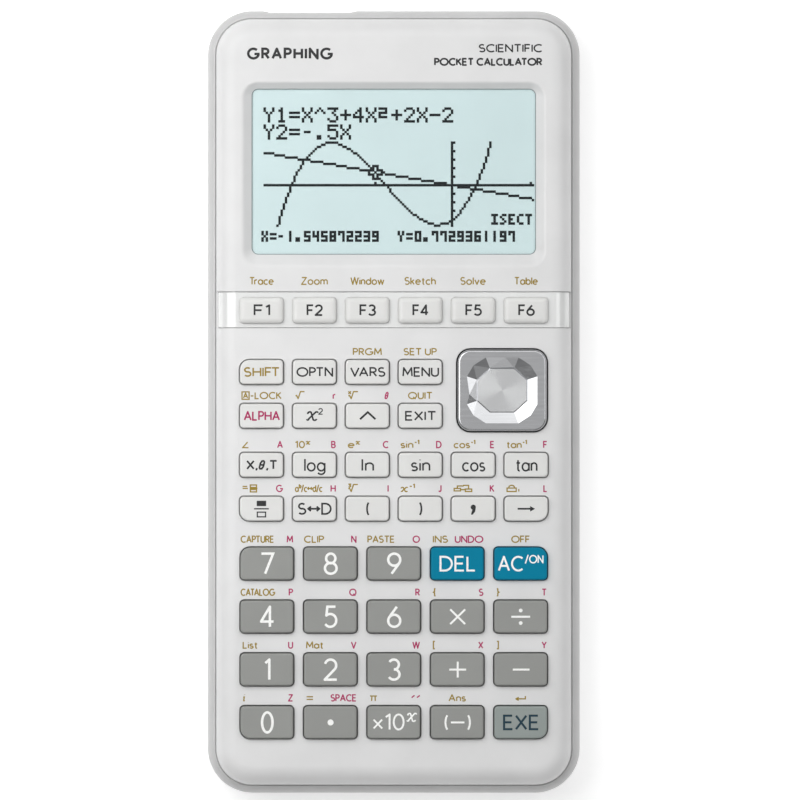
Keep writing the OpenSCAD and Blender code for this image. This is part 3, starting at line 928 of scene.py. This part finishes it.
GLYPHS = {
    "0": "@2.6,5,2.6,5,90,450", "1": "1,8.2 3,10 3,0", "2": "@2.9,7.1,2.8,2.9,165,-38 0,0 6,0",
    "3": "@2.9,7.5,2.5,2.5,150,-90;@2.9,2.6,2.8,2.6,90,-150", "4": "4.4,0 4.4,10 0,2.6 6.2,2.6",
    "5": "5.4,10 1.4,10 0.9,5.6 @2.8,3.2,3,3.2,125,-145", "6": "4.3,10 0.6,4.9 @3,3,3,3,145,505",
    "7": "0,10 5.8,10 1.8,0", "8": "@3,7.6,2.3,2.4,-90,270;@3,2.7,2.9,2.7,90,450",
    "9": "1.7,0 5.4,5.1 @3,7,3,3,-35,325",
    "A": "0,0 3.7,10 7.4,0;1.3,3.4 6.1,3.4",
    "B": "0,0 0,10 2.8,10 @2.8,7.6,2.3,2.4,90,-90 0,5.2;2.8,5.2 @2.8,2.6,2.8,2.6,90,-90 0,0",
    "C": "@4.6,5,4.6,5,50,310", "D": "0,0 0,10 2.6,10 @2.6,5,4.4,5,90,-90 0,0",
    "E": "5,10 0,10 0,0 5.2,0;0,5.1 4.6,5.1", "F": "5,10 0,10 0,0;0,5 4.4,5",
    "G": "@4.7,5,4.7,5,48,345 9.2,4.6 5.6,4.6", "H": "0,0 0,10;6.6,0 6.6,10;0,5.1 6.6,5.1", "I": "0,0 0,10",
    "J": "3.6,10 3.6,2.4 @1.9,2.2,1.7,2.2,0,-160", "K": "0,0 0,10;5.4,10 0,4.6;1.6,6.1 5.8,0",
    "L": "0,10 0,0 4.6,0", "M": "0,0 0.6,10 4.2,2.6 7.8,10 8.4,0", "N": "0,0 0,10 6.8,0 6.8,10",
    "O": "@5,5,5,5,90,450", "P": "0,0 0,10 2.6,10 @2.6,7.4,2.6,2.6,90,-90 0,4.8",
    "Q": "@5,5,5,5,90,450;5.8,2.6 9,-0.6", "R": "0,0 0,10 2.6,10 @2.6,7.4,2.6,2.6,90,-90 0,4.8;2.6,4.8 5.6,0",
    "S": "@2.9,7.5,2.5,2.5,40,262 @2.9,2.6,2.8,2.6,82,-145", "T": "0,10 6.4,10;3.2,10 3.2,0",
    "U": "0,10 @3.1,3.1,3.1,3.1,180,360 6.2,10", "V": "0,10 3.6,0 7.2,10",
    "W": "0,10 2.6,0 5.2,10 7.8,0 10.4,10",
    "X": "0,10 6.4,0;6.4,10 0,0", "Y": "0,10 3.3,4.8 6.6,10;3.3,4.8 3.3,0", "Z": "0.2,10 6.2,10 0,0 6.4,0",
    "a": "@3,3.3,3,3.3,0,360;6,6.6 6,0", "b": "0,10 0,0;@3,3.3,3,3.3,0,360", "c": "@3.1,3.3,3.1,3.3,50,310",
    "d": "6,10 6,0;@3,3.3,3,3.3,0,360", "e": "0.2,3.5 5.9,3.5;@3,3.3,3,3.3,0,312",
    "g": "6,6.6 6,-0.6 @3,-0.4,3,2.6,0,-150;@3,3.3,3,3.3,0,360",
    "h": "0,0 0,10;0,3.8 @2.4,4.2,2.4,2.4,180,0 4.8,0",
    "i": "0,0 0,6.6;0,9.1 0,9.7", "k": "0,0 0,10;4,6.6 0,3;1.4,4.2 4.4,0", "l": "0,10 0,0",
    "m": "0,0 0,6.6;0,4 @2.1,4.4,2.1,2.2,180,0 4.2,0;4.2,4 @6.3,4.4,2.1,2.2,180,0 8.4,0",
    "n": "0,0 0,6.6;0,4 @2.4,4.2,2.4,2.4,180,0 4.8,0", "o": "@3.1,3.3,3.1,3.3,0,360",
    "r": "0,0 0,6.6;0,3.8 @2.4,4,2.4,2.6,180,70", "s": "@2.2,4.9,1.8,1.7,35,255 @2.2,1.7,2.1,1.7,75,-145",
    "t": "1.4,9 1.4,1.6 @2.6,1.4,1.2,1.4,180,290;0,6.6 3.2,6.6", "v": "0,6.6 2.6,0 5.2,6.6",
    "w": "0,6.6 2,0 4,6.6 6,0 8,6.6",
    "θ": "0.7,3.4 1.5,7.2 3,9.8 4.6,9.9 5.2,8.6 4.9,6.6 4.1,2.8 2.6,0.2 1,0.1 0.4,1.4 0.7,3.4;0.9,5 5,5",
    "𝑖": "2.4,9.8 2.6,10.4;0,6.4 1.8,6.4 0.8,0.4 2.6,0.4", "π": "0,8 7,8;2,8 1.6,0;5.2,8 5.4,0",
    "√": "0,4.4 1.4,5.2 3.2,0 6,11.4 11,11.4",
    "ⓧ": "0,4.4 1.4,5.2 3.2,0 6,11.4 11,11.4;0,12 3,7.6;3,12 0,7.6",
    "③": "0,4.4 1.4,5.2 3.2,0 6,11.4 11,11.4;0,12 2.8,12 1.4,10.2 @1.3,8.8,1.4,1.4,90,-140",
    "𝑥": "0,5 @1.2,5.4,1.2,1.4,180,50 3.7,1.2 @4.9,1.2,1.2,1.3,215,350;"
         "6.2,5.9 @5.4,6.0,0.8,0.8,0,150 1,0.9 @0.6,0.8,0.6,0.7,-30,-180",
    "∠": "5.6,9 0,0 6.6,0", "∧": "0,2.6 4.6,7.6 9.2,2.6",
    "+": "0,5 8,5;4,1 4,9", "−": "0,5 8,5", "×": "0,1.6 6.8,8.4;6.8,1.6 0,8.4",
    "=": "0,2.6 7,2.6;0,6.8 7,6.8", "-": "0,4.4 3.6,4.4",
    "(": "@4.6,5,4.6,7,140,220", ")": "@-4.6,5,4.6,7,40,-40", "[": "2.4,11 0,11 0,-1 2.4,-1",
    "]": "0,11 2.4,11 2.4,-1 0,-1", "{": "3.4,11 1.8,10.4 1.8,6.2 0,5 1.8,3.8 1.8,-0.4 3.4,-1",
    "}": "0,11 1.6,10.4 1.6,6.2 3.4,5 1.6,3.8 1.6,-0.4 0,-1", ",": "1.2,1 0.2,-1.8",
    "/": "0,-1 4,11", "\"": "2.6,9.4 2.6,8.4 0.6,5.4;7,9.4 7,8.4 5,5.4",
    "↔": "0,5 9,5;2.2,7.2 0,5 2.2,2.8;6.8,7.2 9,5 6.8,2.8", "↵": "8,8 8,3.4 0,3.4;2.4,5.8 0,3.4 2.4,1",
    # A boxed A, two bars beside a box over a box, two linked boxes, and a padlock beside a bar
    "Ⓐ": "0,-1 9.4,-1 9.4,11 0,11 0,-1;2,1 4.7,9 7.4,1;3,3.6 6.4,3.6",
    "▤": "0,8.2 3,8.2;0,5 3.4,5;5,-0.6 9,-0.6 9,3.4 5,3.4 5,-0.6;4.6,5 9.6,5;5,6.6 9,6.6 9,10.6 5,10.6 5,6.6",
    "▥": "0,1 4,1 4,5 0,5 0,1;4,3 7,3;2,5 2,9 6,9;7,0 11,0 11,4 7,4 7,0;9,4 9,10 5.6,10",
    "▦": "0,0 7,0 7,5.6 0,5.6 0,0;1.4,5.6 @3.5,7,2.1,3,180,0 5.6,5.6;9,0 9,4",
}


def glyph(char):
    """A character's strokes as lists of points, on capitals 10 high. @ stands for an arc."""
    strokes = []
    for stroke in GLYPHS[char].split(";"):
        points = []
        for token in stroke.split():
            if token[0] == "@":
                cx, cy, rx, ry, start, end = (float(v) for v in token[1:].split(","))
                steps = max(4, round(abs(end - start) / 14))
                for i in range(steps + 1):
                    a = math.radians(start + (end - start) * i / steps)
                    points.append((cx + rx * math.cos(a), cy + ry * math.sin(a)))
            else:
                x, y = token.split(",")
                points.append((float(x), float(y)))
        strokes.append(points)
    return strokes


KERNING = {"FT": -1.6, "PT": -1.0, "VA": -1.4, "AT": -1.2, "TA": -1.2, "LP": 0.3, "Tr": -1.6}


def line_of_text(text, height, width, gap, slant):
    """Strokes of a line of text from the left end of its baseline, and its width. ^ raises until _."""
    scale, rise, x = 1.0, 0.0, 0.0
    strokes = []
    previous = ""
    for char in text:
        x += KERNING.get(previous + char, 0) * scale
        previous = char
        if char == "^":
            scale, rise = 0.6, 5.8
        elif char == "_":
            scale, rise = 1.0, 0.0
        elif char == " ":
            x += 3.4
        else:
            drawn = glyph(char)
            low = min(px for points in drawn for px, py in points)
            high = max(px for points in drawn for px, py in points)
            for points in drawn:
                strokes.append([
                    (x + (px - low) * scale + slant * py * scale, rise + py * scale) for px, py in points])
            x += (high - low + gap) * scale
    unit = height / 10
    natural = (x - gap * scale) * unit
    stretch = width / natural if width else 1
    return [[(px * unit * stretch, py * unit) for px, py in points] for points in strokes], natural * stretch


def stroke_polygons(points, half):
    """Flat polygons that cover a line of the given half width."""
    points = [p for i, p in enumerate(points) if i == 0 or math.dist(p, points[i - 1]) > 1e-5]
    closed = len(points) > 3 and math.dist(points[0], points[-1]) < 1e-4
    if closed:
        points = points[:-1]
    n = len(points)
    if n == 1:
        return [disc(points[0], half, 30)]
    count = n if closed else n - 1
    normals = []
    for i in range(count):
        (x0, y0), (x1, y1) = points[i], points[(i + 1) % n]
        length = math.hypot(x1 - x0, y1 - y0)
        normals.append(((y0 - y1) / length, (x1 - x0) / length))
    polygons = []
    ends = []
    for i in range(count):
        pair = []
        for corner, other in ((i, i - 1), (i + 1, i + 1)):
            x, y = points[corner % n]
            nx, ny = normals[i]
            if closed or 0 <= other < count:
                ox, oy = normals[other % count]
                dot = nx * ox + ny * oy
                if dot > -0.45:
                    nx, ny = (nx + ox) / (1 + dot), (ny + oy) / (1 + dot)
                elif corner == i + 1:
                    ends.append((x, y))
            pair.append(((x + nx * half, y + ny * half), (x - nx * half, y - ny * half)))
        polygons.append([pair[0][1], pair[1][1], pair[1][0], pair[0][0]])
    return polygons + [disc(end, half, 30) for end in ends]


INK_HEIGHT = 0.02


def inside(polygon, x, y):
    """True if the point is inside the flat polygon."""
    found = False
    for (x0, y0), (x1, y1) in zip(polygon, polygon[1:] + polygon[:1]):
        if (y0 > y) != (y1 > y) and x < x0 + (y - y0) * (x1 - x0) / (y1 - y0):
            found = not found
    return found


def add_raised(shape, polygons, z):
    """Adds the union of flat polygons as a thin solid that reaches as far below z as above it."""
    points, faces = [], []
    for polygon in polygons:
        faces.append(list(range(len(points), len(points) + len(polygon))))
        points += [Vector(p) for p in polygon]
    boxes = [(min(x for x, y in p), min(y for x, y in p), max(x for x, y in p), max(y for x, y in p))
             for p in polygons]
    merged = delaunay_2d_cdt(points, [], faces, 0, 1e-5)
    points = merged[0]
    triangles = []
    for triangle in merged[2]:
        a, b, c = (points[i] for i in triangle)
        area = (b - a).cross(c - a)
        x, y = (a + b + c) / 3
        if abs(area) > 1e-9 and any(
                box[0] < x < box[2] and box[1] < y < box[3] and inside(polygon, x, y)
                for polygon, box in zip(polygons, boxes)):
            triangles.append(tuple(triangle) if area > 0 else tuple(reversed(triangle)))
    used = sorted({i for triangle in triangles for i in triangle})
    new = {old: number for number, old in enumerate(used)}
    first = len(shape.verts)
    n = len(used)
    for level in (z + INK_HEIGHT, z - INK_HEIGHT):
        shape.verts += [(points[i].x, points[i].y, level) for i in used]
    edges = set()
    for triangle in triangles:
        a, b, c = (first + new[i] for i in triangle)
        shape.faces += [(a, b, c), (c + n, b + n, a + n)]
        edges |= {(a, b), (b, c), (c, a)}
    for a, b in edges:
        if (b, a) not in edges:
            shape.faces.append((b, a, a + n, b + n))


def letter(shape, text, at, height, stroke, z, width, align=0.0, slant=0.0, gap=2.2):
    """Adds lettering. Its height counts the stroke's width; align is 0 for left, 0.5 centred and 1 right."""
    strokes, total = line_of_text(text, height - stroke, width and width - stroke, gap, slant)
    x = at[0] + stroke / 2 - align * (total + stroke)
    y = at[1] + stroke / 2
    polygons = []
    for points in strokes:
        polygons += stroke_polygons([(x + px, y + py) for px, py in points], stroke / 2)
    add_raised(shape, polygons, z)


# Lettering above the keys and its width, or None for its natural width: gold, then magenta
GOLD_LETTERS = {
    "f1": ("Trace", 5.5), "f2": ("Zoom", 6.0), "f3": ("Window", 7.6), "f4": ("Sketch", 7.0),
    "f5": ("Solve", 5.7), "f6": ("Table", 5.3), "variables": ("PRGM", 6.5), "menu": ("SET UP", 7.4),
    "alpha": ("Ⓐ-LOCK", 9.0), "square": ("√", 2.3), "power": ("ⓧ", 2.4), "exit": ("QUIT", 5.5),
    "x_theta_t": ("∠", 1.6), "log": ("10^𝑥", 3.5), "ln": ("e^𝑥", 2.8), "sin": ("sin^-1", 4.2),
    "cos": ("cos^-1", 4.9), "tan": ("tan^-1", 4.6), "fraction": ("▤", 3.6), "convert": ("a^b_/c↔d/c", 6.2),
    "open_bracket": ("③", 2.4), "close_bracket": ("𝑥^-1", 3.2), "comma": ("▥", 4.2),
    "store_arrow": ("▦", 2.9), "7": ("CAPTURE", 7.5), "8": ("CLIP", 4.5), "9": ("PASTE", 6.1),
    "delete": ("INS", 3.4), "all_clear": ("OFF", 4.2), "4": ("CATALOG", 7.75), "multiply": ("{", None),
    "divide": ("}", None), "1": ("List", 3.4), "2": ("Mat", 3.9), "plus": ("[", None), "minus": ("]", None),
    "0": ("𝑖", None), "point": ("=", 1.7), "exponent": ("π", 1.8), "negative": ("Ans", 3.9),
    "execute": ("↵", 2.4),
}
MAGENTA_LETTERS = {
    "square": ("r", None), "power": ("θ", None), "x_theta_t": ("A", None), "log": ("B", None),
    "ln": ("C", None), "sin": ("D", None), "cos": ("E", None), "tan": ("F", None), "fraction": ("G", None),
    "convert": ("H", None), "open_bracket": ("I", None), "close_bracket": ("J", None), "comma": ("K", None),
    "store_arrow": ("L", None), "7": ("M", None), "8": ("N", None), "9": ("O", None),
    "delete": ("UNDO", 6.4), "4": ("P", None), "5": ("Q", None), "6": ("R", None), "multiply": ("S", None),
    "divide": ("T", None), "1": ("U", None), "2": ("V", None), "3": ("W", None), "plus": ("X", None),
    "minus": ("Y", None), "0": ("Z", None), "point": ("SPACE", 5.8), "exponent": ("\"", 2.0),
}
CENTRED = {*KEY_ROWS[0], "variables", "menu", "alpha", "exit", "all_clear", "negative", "execute"}

# On most keys: one text, its height, stroke, width and ink
KEY_LETTERS = {
    **{f"f{n}": (f"F{n}", 2.6, 0.42, 3.7, DARK) for n in range(1, 7)},
    "shift": ("SHIFT", 2.2, 0.36, 8.0, GOLD), "options": ("OPTN", 2.2, 0.36, 8.2, DARK),
    "variables": ("VARS", 2.2, 0.36, 7.9, DARK), "menu": ("MENU", 2.2, 0.36, 8.2, DARK),
    "alpha": ("ALPHA", 2.2, 0.36, 8.1, MAGENTA),
    "power": ("∧", 3.6, 0.44, 3.9, DARK), "exit": ("EXIT", 2.2, 0.36, 7.0, DARK),
    "x_theta_t": ("X,θ,T", 2.2, 0.4, 7.0, DARK), "log": ("log", 3.0, 0.38, 4.8, DARK),
    "ln": ("ln", 2.9, 0.38, 2.8, DARK), "sin": ("sin", 2.9, 0.38, 4.3, DARK),
    "cos": ("cos", 3.0, 0.38, 5.2, DARK), "tan": ("tan", 3.0, 0.38, 4.9, DARK),
    "convert": ("S↔D", 2.7, 0.4, 7.5, DARK),
    "open_bracket": ("(", 3.5, 0.4, None, DARK), "close_bracket": (")", 3.5, 0.4, None, DARK),
    **{digit: (digit, 5.05, 0.56, None, WHITE_INK) for digit in "0123456789"},
    "delete": ("DEL", 3.5, 0.43, 8.1, WHITE_INK),
    "multiply": ("×", 5.3, 0.45, 3.8, WHITE_INK),
    "plus": ("+", 4.9, 0.45, 4.2, WHITE_INK), "minus": ("−", 4.9, 0.45, 4.2, WHITE_INK),
    "negative": ("(−)", 4.0, 0.43, 5.9, WHITE_INK),
    "execute": ("EXE", 3.5, 0.48, 8.1, TEAL),
}


def rectangle(at, width, height):
    x, y = at
    return box_corners((x - width / 2, y - height / 2), (x + width / 2, y + height / 2))


# On some keys: several texts, each with its place from the key's middle, height, stroke, width and slant
KEY_TEXTS = {
    "all_clear": (WHITE_INK, [("AC", -5.1, -1.75, 3.5, 0.43, 5.7, 0), ("/ON", 0.9, 0.05, 1.9, 0.28, 4.2, 0)]),
    "exponent": (WHITE_INK, [
        ("×", -4.7, -2.0, 3.3, 0.4, 2.3, 0), ("10", -2.0, -1.8, 3.8, 0.43, 4.4, 0),
        ("𝑥", 2.8, 0.1, 2.9, 0.34, 2.2, 0.1)]),
    "square": (DARK, [("𝑥", -1.9, -1.15, 3.1, 0.38, 2.6, 0.12), ("2", 0.85, 0.25, 1.5, 0.24, 1.1, 0)]),
}
# On the other keys: signs made of flat polygons round the key's middle
KEY_SIGNS = {
    "point": (WHITE_INK, [disc((0.05, 0), 0.68)]),
    "divide": (WHITE_INK, [rectangle((0, 0), 4.2, 0.45), disc((0, 1.4), 0.42), disc((0, -1.4), 0.42)]),
    "comma": (DARK, [
        disc((0.02, 0.35), 0.58), [(-0.1, 0.1), (-0.5, -1.3), (-0.15, -1.35), (0.45, -0.6), (0.6, 0.3)]]),
    "store_arrow": (DARK, [rectangle((-0.45, 0), 2.9, 0.4), [(0.9, -0.62), (2.0, 0), (0.9, 0.62)]]),
    "fraction": (DARK, [
        rectangle((0, 1.2), 2.1, 1.2), rectangle((0, 0), 3.3, 0.3),
        *stroke_polygons([(-0.92, -1.8), (0.92, -1.8), (0.92, -0.75), (-0.92, -0.75), (-0.92, -1.8)], 0.14)]),
}


def key_lettering(key):
    """What is printed on a key."""
    shape = Shape()
    x, y = key.at
    if key.label in KEY_LETTERS:
        text, height, stroke, width, ink_used = KEY_LETTERS[key.label]
        letter(shape, text, (x + 0.1, y - height / 2), height, stroke, key.top, width, 0.5)
    elif key.label in KEY_TEXTS:
        ink_used, texts = KEY_TEXTS[key.label]
        for text, dx, dy, height, stroke, width, slant in texts:
            letter(shape, text, (x + dx, y + dy), height, stroke, key.top, width, slant=slant)
    else:
        ink_used, signs = KEY_SIGNS[key.label]
        add_raised(shape, [[(x + px, y + py) for px, py in sign] for sign in signs], key.top)
    place(mesh_object("letters_" + key.label, shape, ink_used), key.name)


def case_lettering():
    """The printing on the case's face."""
    gold, magenta, dark = Shape(), Shape(), Shape()
    stroke = 0.28

    def above(key):
        """Half the key's width, and the baseline and height of the printing above it."""
        clear, height = (2.7, 1.66 * 1.08) if key.row == 0 else (0.85, 1.66)
        return key.size[0] / 2, key.at[1] + key.size[1] / 2 + clear, height

    for label, (text, width) in GOLD_LETTERS.items():
        key = KEYS[label]
        half, y, height = above(key)
        start = 0.15 if len(text) > 3 and text.isupper() else 0.6
        at, align = (key.at[0] - half + start, y), 0.0
        if label in CENTRED:
            at, align = (key.at[0], y), 0.5
        letter(gold, text, at, height, stroke, FACE_Z, width, align)
    for label, (text, width) in MAGENTA_LETTERS.items():
        key = KEYS[label]
        half, y, height = above(key)
        letter(magenta, text, (key.at[0] + half - 0.2, y), height, stroke, FACE_Z, width, 1.0)
    letter(dark, "GRAPHING", (-32.8, 76.5), 2.7, 0.56, FACE_Z, 19.2, gap=3.6)
    letter(dark, "SCIENTIFIC", (33.2, 78.1), 1.9, 0.33, FACE_Z, 14.2, 1.0)
    letter(dark, "POCKET CALCULATOR", (33.2, 75.1), 1.8, 0.39, FACE_Z, 24.2, 1.0)
    for name, shape, material in (("gold", gold, GOLD), ("magenta", magenta, MAGENTA), ("dark", dark, DARK)):
        place(mesh_object("letters_" + name, shape, material), "case")


# ---- Pieces that keep their CAD form ----

def from_cad(node, name, material):
    """A welded copy of a CAD node with even shading, standing for it."""
    source = frame["nodes"][node]
    mesh = source.data.copy()
    mesh.name = name
    obj = show(name, mesh)
    clean(mesh, 1e-7)
    for attribute in ("custom_normal", "sharp_edge", "sharp_face"):
        if attribute in mesh.attributes:
            mesh.attributes.remove(mesh.attributes[attribute])
    mesh.materials.clear()
    mesh.materials.append(material)
    finish_shading(obj, sharp_angle=28)
    place(obj, source["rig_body"], SLOT_OF[node], node)
    return obj


def hoop(size, corner, section, at=(0, 0), steps=14):
    """A closed hoop with this outline: [(inset, z)] gives its cross section."""
    shape = Shape()
    loops = [shape.ring(size, corner, inset, z, at, steps) for inset, z in section]
    shape.tower(loops + [loops[0]])
    return shape


def rear_case():
    """The rear case on grey rubber feet, its rim rounded over, with a seal under the front case's edge."""
    case = from_cad("rear_case", "shown_rear_case", REAR_SHADE_DARKENED)
    size = (CASE_HIGH.x - CASE_LOW.x, CASE_HIGH.y - CASE_LOW.y)
    corner = 10.0
    across, down = 1.9, 3.2
    wall, soft = 1.85, 0.35
    outside = [(-1, RIM_Z - down), (-1, RIM_Z + 1), (across, RIM_Z + 1)]
    for sine, cosine in reversed(list(quarter(14))):
        outside.append((across * (1 - cosine), RIM_Z - down + down * sine))
    inside_edge = [(wall + 0.08, RIM_Z - soft), (wall + 0.08, RIM_Z + 1), (wall - soft, RIM_Z + 1)]
    for sine, cosine in quarter(6):
        inside_edge.append((wall - soft + soft * sine, RIM_Z - soft + soft * cosine))
    cut(case, [hoop(size, corner, outside), hoop(size, corner, inside_edge)])
    case.data.materials.append(FOOT)
    for face in case.data.polygons:
        if face.center.z < FEET_TOP * MM:
            face.material_index = 1
    near, far = -0.02, -0.13
    seal_z = RIM_Z - 0.5
    section = [(near, seal_z), (far, seal_z), (far, RIM_Z), (near, RIM_Z)]
    seal = hoop(FRONT_SIZE, FRONT_CORNER, section)
    place(mesh_object("parting_seal", seal, REAR_SHADE_DARKENED), "case", "case_rear")


def window():
    """The display window, with a pocket underneath that the display's layers stand in."""
    sheet = from_cad("display_window", "shown_display_window", CAD_MATERIALS["window"])
    cut(sheet, [view_block(0.1, WINDOW_LOW.z - 1, STACK_TOP + 0.06)])


def membrane():
    """The rubber sheet under the keys, and a dome for each key as a piece of its own."""
    node = "keypad_membrane"
    rubber = CAD_MATERIALS[SLOT_OF[node]]
    body = frame["nodes"][node]["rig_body"]
    low, high = cad_box_mm(node)
    top = low.z + 0.6
    sheet = Shape()
    edge = box_corners(low, high)
    socket_radius = 1.7
    sides = [(sheet.loop(edge, z), sheet.loop(disc(PAD_AT, socket_radius, 10), z)) for z in (low.z, top)]
    for lower, upper in zip(*sides):
        sheet.wall(lower, upper)
    for outer, socket in sides:
        sheet.fill(outer, [socket])
    place(mesh_object("membrane_sheet", sheet, rubber, weighted=True), body, SLOT_OF[node], node)
    foot, crown, soft = 2.17, 1.7, 0.25
    section = [(foot, top + 0.005), (crown, high.z - soft)]
    section += [(crown - soft * (1 - cosine), high.z - soft + soft * sine) for sine, cosine in quarter(3, 1)]
    for key in KEYS.values():
        dome = Shape()
        loops = [dome.loop(disc(key.at, radius, 10), z) for radius, z in section]
        dome.tower(loops)
        dome.ends(loops)
        dome = mesh_object("dome_" + key.label, dome, rubber)
        place(dome, body, SLOT_OF[node])
        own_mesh(dome)


def cad_pieces():
    rear_case()
    window()
    membrane()
    for node in ("battery_cover", "main_board", "port_sockets",
                 "aaa_cells", "battery_contacts", "case_screws", "pad_pivot"):
        from_cad(node, "shown_" + node, CAD_MATERIALS[SLOT_OF[node]])


front_case()
function_strip()
for each in KEYS.values():
    key_cap(each)
    key_lettering(each)
direction_pad()
display()
case_lettering()
cad_pieces()


# ---- Floor, lights and camera ----

def floor():
    shape = Shape()
    half = 1500
    shape.cap(shape.loop(box_corners((-half, -half), (half, half)), 0))
    n = Nodes("floor_paper")
    n.tint(n.noise(300, 2), (0.9, 0.9, 0.9, 1), (0.92, 0.92, 0.92, 1))
    n.set(Roughness=0.9, Emission_Color=(1, 1, 1, 1), Emission_Strength=0.36)
    mesh_object("floor", shape, n.material)


def softbox(name, angle, azimuth, distance, size, radiance):
    """A softbox that faces the object. Angles are from straight up and from +X, radiance in whites."""
    a, b = math.radians(angle), math.radians(azimuth)
    at = Vector((math.sin(a) * math.cos(b), math.sin(a) * math.sin(b), math.cos(a))) * distance
    light = bpy.data.lights.new(name, "AREA")
    light.shape = "RECTANGLE"
    light.size, light.size_y = size
    light.energy = radiance * math.pi * size[0] * size[1]
    obj = show(name, light)
    obj.location = at
    obj.rotation_euler = (-at).to_track_quat("-Z", "Y").to_euler()


def studio():
    softbox("left_softbox", 34, 158, 0.33, (0.29, 0.29), 2.1)
    softbox("right_softbox", 42, 14, 1.2, (0.58, 0.5), 1.5)
    softbox("front_softbox", 43.5, 270, 1.2, (0.36, 0.3), 0.55)
    softbox("top_softbox", 38, 90, 1.2, (1.8, 0.55), 1.3)
    softbox("overhead_softbox", 0, 0, 2.1, (2.2, 2.2), 0.38)
    world = bpy.data.worlds.new("studio")
    world.use_nodes = True
    background = world.node_tree.nodes["Background"]
    background.inputs["Color"].default_value = (1, 1, 1, 1)
    background.inputs["Strength"].default_value = 0.3
    bpy.context.scene.world = world


def camera():
    """Looks straight down at the face with a long lens."""
    sensor = 36.0
    distance = 1.6
    frame_width = 0.1793
    data = bpy.data.cameras.new("camera")
    data.sensor_width = sensor
    data.lens = sensor * distance / frame_width
    data.clip_end = 10
    obj = show("camera", data)
    aim_x, aim_y = 0.00139, 0.00044
    obj.location = (aim_x, aim_y, RIM_Z * MM + distance)
    bpy.context.scene.camera = obj
    bpy.context.scene.view_settings.view_transform = "Standard"


floor()
studio()
camera()
